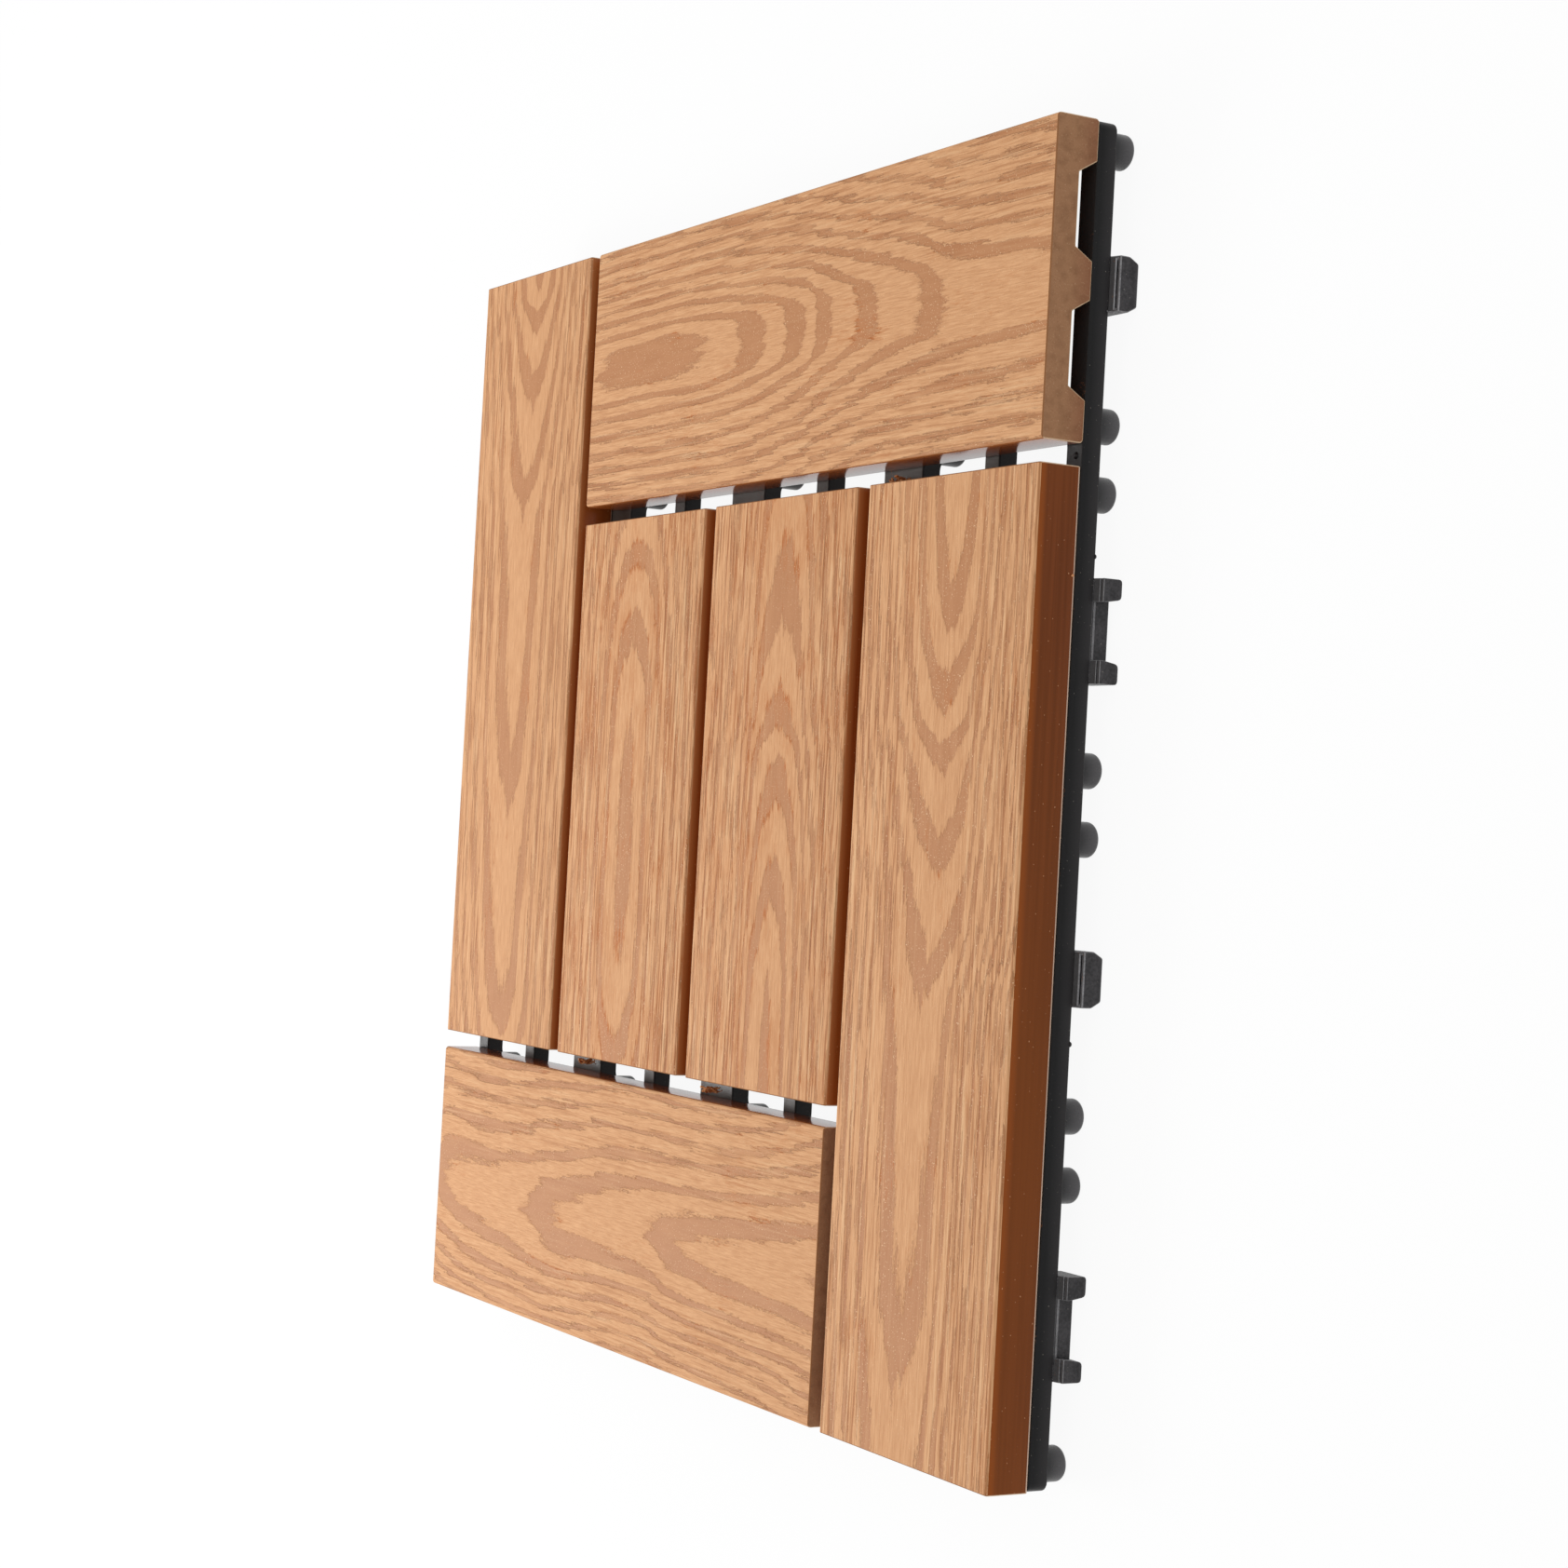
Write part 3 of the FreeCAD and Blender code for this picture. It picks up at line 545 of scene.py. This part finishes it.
def sawnComposite(look):
    # Wood-plastic core as the saw left it: matt and blotchy, with pale flecks and small pits
    material, tree, shader = newMaterial("sawnComposite", Roughness=0.85, Specular_IOR_Level=0.2)
    overFoot = heightAbove(tree, *(tile["baseHeight"] + height for height in look["footBand"]))
    grit = blots(tree, look["fibre"])
    blotches = blots(tree, look["blotch"])
    layers = [(overFoot, look["top"])]
    for source, gain, tone in ((grit, "fleckGain", "fleck"), (grit, "pitGain", "pit"),
                               (blotches, "blotchGain", "pit")):
        share = addNode(tree, "Math", [source, *look[gain]], **clamped)
        layers.append((addNode(tree, "Math", [share, look["marks"]], operation="MULTIPLY"), look[tone]))
    fillSockets(tree, shader, {
        "Base Color": layered(tree, look["foot"], *layers),
        "Normal": addNode(tree, "Bump", {"Strength": 0.6, "Distance": mm(look["fibreDepth"]), "Height": grit})})
    return material


def sawBurr(look):
    # The saw's burr, eased by hand: a pale dusty line round each sawn end, torn off along the top
    material, tree, shader = newMaterial("easedSawBurr", Roughness=0.9, Specular_IOR_Level=0.1)
    dust = blots(tree, look["burrDust"], look["burrGain"])
    torn = heightAbove(tree, *(tile["top"] - depth for depth in look["tornBand"]))
    fillSockets(tree, shader, {
        "Base Color": layered(tree, look["fleck"], (dust, look["burr"]), (torn, look["torn"]))})
    return material


sideFinishes = [extrudedSkin("extrudedPolymerSkin", skinLook), sawnComposite(sawnLook), sawBurr(sawnLook),
                extrudedSkin("litGapPolymerSkin", litGapSkinLook)]
for plankName, plankPlan in planks.items():
    buildPlank(plankName, plankPlan, [embossedTop(plankName + "EmbossedTop", plankPlan), *sideFinishes])
print("planks laid:", len(planks))


def evaluatedMesh(name, data, modify=None):
    # The mesh that a curve or a mesh with modifiers gives, with the carrier taken away again
    carrier = bpy.data.objects.new(name, data)
    scene.collection.objects.link(carrier)
    if modify:
        modify(carrier)
    graph = bpy.context.evaluated_depsgraph_get()
    mesh = bpy.data.meshes.new_from_object(carrier.evaluated_get(graph))
    bpy.data.objects.remove(carrier)
    mesh.name = name
    return mesh


def raised(name, outlines, low, high, edge):
    # The first outline raised from one height to another, with holes at the others and rounded edges
    curve = bpy.data.curves.new(name, "CURVE")
    curve.dimensions, curve.fill_mode = "2D", "BOTH"
    curve.extrude = mm(high - low) / 2 - mm(edge)
    curve.bevel_depth, curve.bevel_resolution, curve.offset = mm(edge), 2, -mm(edge)
    for outline in outlines:
        spline = curve.splines.new("POLY")
        spline.points.add(len(outline) - 1)
        for point, corner in zip(spline.points, outline):
            point.co = (*mm(*corner, 0), 1)
        spline.use_cyclic_u = True
    mesh = evaluatedMesh(name, curve)
    mesh.transform(Matrix.Translation(mm(0, 0, (low + high) / 2)))
    welded = bmesh.new()
    welded.from_mesh(mesh)
    bmesh.ops.remove_doubles(welded, verts=welded.verts, dist=mm(tile["sliver"] / 10))
    return meshOf(name, welded)


def carved(name, mesh, cutter):
    # The mesh with the cutter's solids taken out
    tool = bpy.data.objects.new(name + "Cutter", cutter)
    scene.collection.objects.link(tool)

    def cut(carrier):
        cutting = carrier.modifiers.new("cut", "BOOLEAN")
        cutting.operation, cutting.object, cutting.solver = "DIFFERENCE", tool, "EXACT"

    result = evaluatedMesh(name, mesh, cut)
    bpy.data.objects.remove(tool)
    return result


def loft(shape, loops, place=Matrix()):
    # Skin between closed loops with equal numbers of points, with a face over the first and the last
    rings = [[shape.verts.new(place @ mm(*point)) for point in loop] for loop in loops]
    for first, second in zip(rings, rings[1:]):
        for index in range(len(first)):
            after = (index + 1) % len(first)
            shape.faces.new((first[index], first[after], second[after], second[index]))
    shape.faces.new(reversed(rings[0]))
    shape.faces.new(rings[-1])


def lathe(shape, profile, sides, place=Matrix()):
    # A turned solid: the profile is (radius, height) from the bottom up, closed flat at both ends
    loft(shape, [[(radius * math.cos(math.tau * side / sides), radius * math.sin(math.tau * side / sides), height)
                  for side in range(sides)] for radius, height in profile], place)


def copied(name, mesh, places):
    # One mesh made of the given one, moved to each place
    shape = bmesh.new()
    for place in places:
        start = len(shape.verts)
        shape.from_mesh(mesh)
        shape.verts.ensure_lookup_table()
        bmesh.ops.transform(shape, matrix=place, verts=shape.verts[start:])
    return meshOf(name, shape)


def arc(radius, first, last, steps, centre=(0, 0)):
    # Points round a centre from one angle to another, in degrees
    angles = [math.radians(first + (last - first) * step / steps) for step in range(steps + 1)]
    return [(centre[0] + radius * math.cos(angle), centre[1] + radius * math.sin(angle)) for angle in angles]


def softened(corners, radius, steps=3, most=0.45):
    # An outline with each corner rounded off, from about radius before it to radius after it, or at most
    # that share of the side between two corners
    outline = []
    for index, corner in enumerate(corners):
        at = Vector(corner)
        before, after = Vector(corners[index - 1]) - at, Vector(corners[(index + 1) % len(corners)]) - at
        start = at + before.normalized() * min(radius, before.length * most)
        end = at + after.normalized() * min(radius, after.length * most)
        for step in range(steps + 1):
            share = step / steps
            outline.append(tuple((1 - share) ** 2 * start + 2 * share * (1 - share) * at + share ** 2 * end))
    return outline


# Base: one moulding, with a rim, ribs and bosses on sixty-four round feet
base = dict(
    ribThick=2.2, twinOffset=7.6, spineWidth=6.0, gusset=3.6, bossRadius=6.0, screwHole=2.1, padSkin=2.0,
    cornerRadius=2.2, cornerSteps=5, edgeRound=0.4, innerRound=0.9, holeSides=24,
    footRadius=4.0, footRound=1.2, footFlat=0.8, footSides=40, sunk=0.4, dustyTop=9, dustySide=0.5,
    smoothUnder=35)
# Half the slot between two twin ribs, and how far the rim's inner face is from the tile's middle
base["slotHalf"] = base["twinOffset"] - base["ribThick"] / 2
base["rimInner"] = 2 * tile["pitch"] - base["twinOffset"] - base["ribThick"] / 2
modules = [tile["pitch"] * share for share in (-1.5, -0.5, 0.5, 1.5)]
gapLines = [tile["pitch"] * share for share in (-1, 0, 1)]
quadrants = ((1, 1), (-1, 1), (-1, -1), (1, -1))
quarterTurns = [Matrix.Rotation(math.radians(90 * quarter), 4, "Z") for quarter in range(4)]


def deckOutlines(plan):
    # The rim and every opening through the deck, seen from above
    spine = plan["spineWidth"] / 2
    inner = tile["pitch"] / 2 - plan["twinOffset"] - plan["ribThick"] / 2
    slot, gusset = plan["slotHalf"], plan["gusset"]
    bossCut = math.sqrt(plan["bossRadius"] ** 2 - spine ** 2)
    cell = softened([(spine, bossCut), (bossCut, spine), (inner, spine), (inner, inner - gusset),
                     (inner - gusset, inner), (spine, inner)], plan["innerRound"])
    halfSlot = softened([(-slot, spine), (-slot, inner - gusset), (gusset - slot, inner), (slot - gusset, inner),
                         (slot, inner - gusset), (slot, spine)], plan["innerRound"])
    hole = arc(plan["screwHole"], 0, 360, plan["holeSides"])[:-1]
    half, corner = tile["side"] / 2, plan["cornerRadius"]
    rim = []
    for quarter, (x, y) in enumerate(quadrants):
        rim += arc(corner, 90 * quarter, 90 * quarter + 90, plan["cornerSteps"],
                   (x * (half - corner), y * (half - corner)))
    openings = []
    for x in modules:
        for y in modules:
            openings.append([(x + across, y + along) for across, along in hole])
            for turnX, turnY in quadrants:
                openings.append([(x + turnX * across, y + turnY * along) for across, along in cell])
    for line in gapLines:
        for middle in modules:
            for turn in (1, -1):
                openings.append([(line + across, middle + turn * along) for across, along in halfSlot])
                openings.append([(middle + turn * along, line + across) for across, along in halfSlot])
    # Holes run the other way round than the rim
    for index, outline in enumerate(openings):
        area = sum(a[0] * b[1] - b[0] * a[1] for a, b in zip(outline, outline[1:] + outline[:1]))
        if area > 0:
            openings[index] = outline[::-1]
    return [rim] + openings


def buildDeck(plan):
    low, high = tile["footHeight"], tile["baseHeight"]
    deck = raised("deck", deckOutlines(plan), low, high, plan["edgeRound"])
    slot, gusset = plan["slotHalf"], plan["gusset"]
    corners = softened([(slot, slot - gusset), (slot - gusset, slot), (gusset - slot, slot), (-slot, slot - gusset),
                        (-slot, gusset - slot), (gusset - slot, -slot), (slot - gusset, -slot),
                        (slot, gusset - slot)], plan["innerRound"])
    core = bmesh.new()
    for x in gapLines:
        for y in gapLines:
            loft(core, [[(x + across, y + along, up) for across, along in corners]
                        for up in (low - tile["overcut"], high - plan["padSkin"])])
    return carved("baseDeck", deck, meshOf("core", core))


def buildFeet(plan):
    # Turned feet, their lower edges rounded, one under each crossing of two twin ribs
    radius, edge = plan["footRadius"], plan["footRound"]
    profile = [(tile["sliver"], 0), (radius - edge - plan["footFlat"], 0)]
    profile += [(radius - edge + across, edge + up) for across, up in arc(edge, -90, 0, 6)]
    profile.append((radius, tile["footHeight"] + plan["sunk"]))
    foot = bmesh.new()
    lathe(foot, profile, plan["footSides"])
    offset = tile["pitch"] / 2 - plan["twinOffset"]
    spots = [middle + turn * offset for middle in modules for turn in (1, -1)]
    return copied("baseFeet", meshOf("foot", foot), [Matrix.Translation(mm(x, y, 0)) for x in spots for y in spots])


# Tongues and cheeks hang below the rim and stand out of it, with a slit behind the lip of each. Slits are
# (width, depth, length), and places are in modules from the middle of a side
clips = dict(
    reach=2.5, footClear=0.3, slope=0.8, buried=0.3, buriedRun=0.5, tongueWidth=12.4, leadIn=1.4, leadInRise=2.4,
    tongueRound=0.4, tongueSlit=(0.5, 0.9, 11), tonguePlaces=(1.5, -0.5), socketHalf=6.4, flare=0.7, flareRise=1,
    cheekWidth=5.2, cheekRound=0.9, cheekSlit=(0.3, 0.5, 9), socketPlaces=(0.5, -1.5), lipThick=0.7,
    wallInset=0.4, wallFoot=1.5, wallLedge=(5.3, 5.6), wallStep=0.35, wallEnds=0.4, wallBehind=0.05, edgeRound=0.3,
    edgeSteps=2)


def clipBlock(name, plan, corners, rounding, slit):
    # corners run from one side round the foot to the other, as (along the rim, up). The two upper ones
    # that are added only round the first and last, and their own points are left off. The top slopes
    # down outside the rim
    high = tile["baseHeight"]
    lower = softened([(corners[0][0], high), *corners, (corners[-1][0], high)], rounding)[4:-4]
    rim, under, tip = tile["side"] / 2, tile["footHeight"], tile["side"] / 2 + plan["reach"]
    block = bmesh.new()
    loft(block, [[(depth, along, up) for along, up in lower]
                 + [(depth, corners[-1][0], top), (depth, corners[0][0], top)]
                 for depth, top in ((base["rimInner"] + tile["sliver"], under + plan["buried"]),
                                    (rim - plan["buriedRun"], under + plan["buried"]),
                                    (rim - tile["sliver"], under), (tip, under - plan["slope"]))])
    width, depth, length = slit
    outer = tip - plan["lipThick"]
    middle = (corners[0][0] + corners[-1][0]) / 2
    groove = bmesh.new()
    loft(groove, [[(outer - width, middle - length / 2, up), (outer, middle - length / 2, up),
                   (outer, middle + length / 2, up), (outer - width, middle + length / 2, up)]
                  for up in (under - plan["slope"] - depth, under + tile["overcut"])])
    return carved(name, meshOf(name, block), meshOf(name + "Slit", groove))


def rimPlaces(shares):
    # The same places along each side of the tile
    return [turn @ Matrix.Translation(mm(0, tile["pitch"] * share, 0)) for turn in quarterTurns
            for share in shares]


def buildTongues(plan):
    half, foot = plan["tongueWidth"] / 2, plan["footClear"]
    rise = foot + plan["leadInRise"]
    corners = [(-half, rise), (plan["leadIn"] - half, foot), (half - plan["leadIn"], foot), (half, rise)]
    tongue = clipBlock("tongue", plan, corners, plan["tongueRound"], plan["tongueSlit"])
    return copied("baseTongues", tongue, rimPlaces(plan["tonguePlaces"]))


def buildCheeks(plan):
    inner, foot = plan["socketHalf"], plan["footClear"]
    outer = inner + plan["cheekWidth"]
    corners = [(inner, tile["footHeight"] - plan["slope"] - plan["flareRise"]), (inner + plan["flare"], foot),
               (outer, foot)]
    cheek = clipBlock("cheek", plan, corners, plan["cheekRound"], plan["cheekSlit"])
    pair = copied("cheeks", cheek, [Matrix(), Matrix.Scale(-1, 4, (0, 1, 0))])
    return copied("baseCheeks", pair, rimPlaces(plan["socketPlaces"]))


def buildSocketWalls(plan):
    half = plan["socketHalf"] + plan["cheekWidth"] - plan["wallEnds"]
    back, face = base["rimInner"] + plan["wallBehind"], tile["side"] / 2 - plan["wallInset"]
    step, top = face + plan["wallStep"], tile["footHeight"] + base["sunk"]
    low, high = plan["wallLedge"]
    wall = bmesh.new()
    loft(wall, [[(back, along, plan["wallFoot"]), (face, along, plan["wallFoot"]), (face, along, low),
                 (step, along, high), (step, along, top), (back, along, top)] for along in (-half, half)])
    return copied("baseSocketWalls", meshOf("wall", wall), rimPlaces(plan["socketPlaces"]))


# Black polypropylene. The rim and ribs come from a polished mould, the clips and feet from an eroded one.
# The low tone paints each part lighter toward its lower edge: a painted sheen, which leaves the feet painted darker
# next to the deck
rimLook = dict(
    dark="#0A0A0B", pale="#121213", roughness=0.38, roughSpread=0.12, shine=0.2, grit=(0.5, 0.5, 3, 0.5),
    gritDepth=0.015, mottle=(4, 3, 3, 0.6), toneGain=(2.2, -1.7), specks=0.5, dusty="#2C2A29", low="#302E2F",
    paintedSheenBand=(9.8, 6))
ribLook = dict(rimLook, dark="#1A1818", pale="#332F2E", dusty="#5A524C", low="#2E2C2C")
clipLook = dict(rimLook, dark="#262527", pale="#454345", roughness=0.42, shine=0.3, grit=(0.7, 0.7, 3, 0.5),
                gritDepth=0.06, specks=0.7, dusty="#4A4848", low="#454345", paintedSheenBand=(1.2, 0.4))
footLook = dict(rimLook, dark="#171618", pale="#201F21", roughness=0.32, shine=0.45, gritDepth=0.01, specks=0.3,
                dusty="#353435", low="#5A585A", paintedSheenBand=(5.0, 0.8))
# The clips' rounded edges: light grey that is partly wear and partly a painted highlight along each edge
wornAndHighlitEdgeLook = dict(rimLook, dark="#6E6D6F", pale="#9A999B", roughness=0.45, shine=0.3, grit=(0.45, 0.45, 3, 0.5),
                gritDepth=0.03, specks=0.3, dusty="#8A898B", low="#8A898B", paintedSheenBand=(1.2, 0.4))
dustLook = dict(
    pale="#9C958C", specks=(0.42, 0.42, 0, 0.5), speckGain=(18, -14.6), upwardGain=(4, -3),
    wood="#9A6036", sawdust=(0.5, 0.5, 2, 0.5), patches=(9, 9, 1, 0.5), sawdustGain=(9, -11.4))


def mouldedPolypropylene(name, look):
    # Satin black with a fine grit, a mottle where the melt cooled, a painted sheen that turns it lighter toward
    # its lower edge, and dust: pale specks everywhere, and sawdust where it can lie
    material, tree, shader = newMaterial(name, IOR=1.49, Specular_IOR_Level=look["shine"])
    grit = blots(tree, look["grit"])
    tone = addNode(tree, "Math", [grit, blots(tree, look["mottle"])], operation="ADD")
    tone = addNode(tree, "Math", [tone, *look["toneGain"]], **clamped)
    specks = blots(tree, dustLook["specks"], dustLook["speckGain"])
    specks = addNode(tree, "Math", [specks, look["specks"]], operation="MULTIPLY")
    upward = addNode(tree, "SeparateXYZ", [addNode(tree, "NewGeometry").outputs["Normal"]]).outputs[2]
    upward = addNode(tree, "Math", [upward, *dustLook["upwardGain"]], **clamped)
    dust = [blots(tree, dustLook[name]) for name in ("sawdust", "patches")]
    dust = addNode(tree, "Math", dust, operation="ADD")
    dust = addNode(tree, "Math", [dust, *dustLook["sawdustGain"]], **clamped)
    dust = addNode(tree, "Math", [dust, upward], operation="MULTIPLY")
    fillSockets(tree, shader, {
        "Base Color": layered(
            # The low tone over the lower band is a painted sheen
            tree, look["dark"], (tone, look["pale"]), (heightAbove(tree, *look["paintedSheenBand"]), look["low"]),
            (specks, dustLook["pale"]), (upward, look["dusty"]), (dust, dustLook["wood"])),
        "Normal": addNode(tree, "Bump", {"Strength": 1.0, "Distance": mm(look["gritDepth"]), "Height": grit}),
        "Roughness": addNode(tree, "Math", [tone, look["roughSpread"], look["roughness"] - look["roughSpread"] / 2],
                             operation="MULTIPLY_ADD")})
    return material


polished, dusty, eroded, wornHighlitEdge, smooth = [mouldedPolypropylene(finishName, look) for finishName, look in (
    ("polishedPolypropylene", rimLook), ("dustyPolypropylene", ribLook), ("erodedPolypropylene", clipLook),
    ("wornAndHighlitPolypropyleneEdge", wornAndHighlitEdgeLook), ("smoothPolypropyleneFoot", footLook))]

baseParts = (
    ("baseDeck", buildDeck(base), [polished, dusty], 0), ("baseFeet", buildFeet(base), [smooth], 0),
    ("baseTongues", buildTongues(clips), [eroded, wornHighlitEdge], clips["edgeRound"]),
    ("baseCheeks", buildCheeks(clips), [eroded, wornHighlitEdge], clips["edgeRound"]),
    ("baseSocketWalls", buildSocketWalls(clips), [eroded, wornHighlitEdge], clips["edgeRound"]))
for partName, partMesh, partFinishes, partRound in baseParts:
    smoothByAngle(partMesh, base["smoothUnder"])
    for finish in partFinishes:
        partMesh.materials.append(finish)
    part = newPiece(partName, partMesh, ["base_grid"])
    if dusty in partFinishes:
        for face in partMesh.polygons:
            inward = mm(tile["side"] / 2) - max(map(abs, face.center[:2]))
            face.material_index = int(inward > mm(base["dustyTop"] if face.normal.z > 0.5 else base["dustySide"]))
    if partRound:
        # Rounded edges take the second finish, light grey: partly wear, partly a painted highlight
        edges = part.modifiers.new("roundedEdges", "BEVEL")
        edges.width, edges.segments, edges.limit_method = mm(partRound), clips["edgeSteps"], "ANGLE"
        edges.angle_limit, edges.harden_normals, edges.material = math.radians(base["smoothUnder"]), True, 1
    else:
        part.modifiers.new("evenShading", "WEIGHTED_NORMAL").keep_sharp = True
    print(partName, "built:", len(partMesh.polygons), "faces")


# Small marks of this tile: moulding nubs on the rim, a flash loop on one tongue, shavings in the gaps
marks = dict(
    nubs=[((149.9, 54.4, 6.2), 0.55), ((149.9, -52.4, 6.1), 0.6), ((147.6, 76.3, 10.9), 0.9)],
    flash=[(150.2, 108.4, 6.6), (151.0, 107.9, 6.3), (151.9, 107.8, 5.5), (152.1, 108.2, 4.4), (151.6, 108.3, 3.6)],
    nubProfile=((0.3, -0.5), (0.8, -0.3), (1, 0), (0.8, 0.3), (0.3, 0.5)), nubSides=12,
    flashThick=0.11, shavingThick=0.19, spread=0.30, bend=0.16, rise=0.14, lift=0.12, curlSteps=8,
    shavingDark="#B8642A", shavingPale="#EFB682", tones=(0.8, 0.8, 2, 0.5), toneGain=(3, -1), smoothUnder=60,
    shavings=[((9.0, -76.2, 17.6), 4.2, 9), ((-69.5, -76.0, 14.5), 4.0, 8), ((79.5, 75.8, 13.5), 4.0, 8),
              ((149.9, 49.8, 12.0), 0.5, 2)])


def strand(name, points, thick):
    # A smooth round strand through the points
    curve = bpy.data.curves.new(name, "CURVE")
    curve.dimensions, curve.bevel_depth, curve.bevel_resolution, curve.use_fill_caps = "3D", mm(thick), 1, True
    curve.resolution_u = 4
    spline = curve.splines.new("NURBS")
    spline.points.add(len(points) - 1)
    for point, place in zip(spline.points, points):
        point.co = (*mm(*place), 1)
    spline.use_endpoint_u, spline.order_u = True, 3
    return evaluatedMesh(name, curve)


def buildNubs(plan):
    nub = bmesh.new()
    for (x, y, z), radius in plan["nubs"]:
        profile = [(radius * across, up * radius) for across, up in plan["nubProfile"]]
        lathe(nub, profile, plan["nubSides"], Matrix.Translation(mm(x, y, z)))
    return meshOf("rimNubs", nub)


def buildShavings(plan):
    # Each tuft is a few curls that start near one spot. The sines only scatter and bend them
    tufts = bmesh.new()
    for (x, y, z), size, count in plan["shavings"]:
        for curl in range(count):
            lean, swing = math.sin(2.4 * curl + x), math.cos(1.7 * curl + y)
            points = [(x + size * (plan["spread"] * lean + plan["bend"] * math.sin(1.1 * step + curl)),
                       y + size * plan["bend"] * math.sin(0.8 * step + 2 * curl + swing),
                       z + size * (plan["rise"] * step - 0.5 + plan["lift"] * swing))
                      for step in range(plan["curlSteps"])]
            tufts.from_mesh(strand("curl", points, plan["shavingThick"] * (1 + 0.5 * swing)))
    return meshOf("shavings", tufts)


def shavingComposite(plan):
    # Wood-plastic core in thin curls: matt orange brown, paler where a curl is thin
    material, tree, shader = newMaterial("shavingComposite", Roughness=0.7, Specular_IOR_Level=0.2)
    thin = blots(tree, plan["tones"], plan["toneGain"])
    fillSockets(tree, shader, {"Base Color": layered(tree, plan["shavingDark"], (thin, plan["shavingPale"]))})
    return material


for markName, markMesh, markFinish, markNode, markSlot in (
        ("rimNubs", buildNubs(marks), polished, "base_grid", "base"),
        ("tongueFlash", strand("tongueFlash", marks["flash"], marks["flashThick"]), wornHighlitEdge, "base_grid", "base"),
        ("gapShavings", buildShavings(marks), shavingComposite(marks), "centre_plank_right", "plank")):
    smoothByAngle(markMesh, marks["smoothUnder"])
    markMesh.materials.append(markFinish)
    newPiece(markName, markMesh, [markNode])
print("small marks added")


# Screws: pan heads with a cross recess, bearing on the deck's underside. dome is (share of the radius, up)
screws = dict(
    headRadius=3.5, headHeight=1.9, dome=((0.45, 0.06), (0.75, 0.22), (0.93, 0.55), (1, 1.1)), shankRadius=1.7,
    plainShank=1.2, reach=18.4, point=1.4, threadPitch=1.2, threadDepth=0.25, crest=(0.45, 0.55), sides=32,
    crossLength=3.6, crossWidth=0.85, crossDepth=1.1, crossStart=0.5, crossTaper=0.75, smoothUnder=35)
zincLook = dict(dull="#8E9194", bright="#C2C4C6", clouds=(1.1, 1.1, 4, 0.6), cloudGain=(2.4, -0.7),
                roughnessGain=(-0.16, 0.46))


def buildScrews(plan):
    seat = tile["footHeight"]
    low, radius, shank = seat - plan["headHeight"], plan["headRadius"], plan["shankRadius"]
    profile = [(tile["sliver"], low)] + [(radius * share, low + up) for share, up in plan["dome"]]
    profile += [(radius, seat - tile["sliver"]), (shank, seat)]
    height = seat + plan["plainShank"]
    while height < plan["reach"] - plan["point"] - plan["threadPitch"]:
        profile.append((shank - plan["threadDepth"], height))
        profile += [(shank, height + share * plan["threadPitch"]) for share in plan["crest"]]
        height += plan["threadPitch"]
    profile += [(shank - plan["threadDepth"], height), (tile["sliver"], plan["reach"])]
    screw = bmesh.new()
    lathe(screw, profile, plan["sides"])
    cross = bmesh.new()
    long, wide = plan["crossLength"] / 2, plan["crossWidth"] / 2
    corners = [(long, -wide), (long, wide), (wide, wide), (wide, long), (-wide, long), (-wide, wide), (-long, wide),
               (-long, -wide), (-wide, -wide), (-wide, -long), (wide, -long), (wide, -wide)]
    loft(cross, [[(x * share, y * share, up) for x, y in corners]
                 for share, up in ((1, low - plan["crossStart"]), (plan["crossTaper"], low + plan["crossDepth"]))])
    screw = carved("screw", meshOf("screwBlank", screw), meshOf("crossRecess", cross))
    return copied("plankScrews", screw, [Matrix.Translation(mm(x, y, 0)) for x in modules for y in modules])


def zincPlatedSteel(look):
    # Bright zinc over steel: a cool grey metal, slightly cloudy, duller in its scuffs
    material, tree, shader = newMaterial("zincPlatedSteel", Metallic=1.0)
    clear = blots(tree, look["clouds"], look["cloudGain"])
    fillSockets(tree, shader, {
        "Base Color": layered(tree, look["dull"], (clear, look["bright"])),
        "Roughness": addNode(tree, "Math", [clear, *look["roughnessGain"]], operation="MULTIPLY_ADD")})
    return material


screwMesh = buildScrews(screws)
smoothByAngle(screwMesh, screws["smoothUnder"])
screwMesh.materials.append(zincPlatedSteel(zincLook))
newPiece("plankScrews", screwMesh, ["plank_screws"])
print("screws driven:", len(modules) ** 2)

print("tile done")
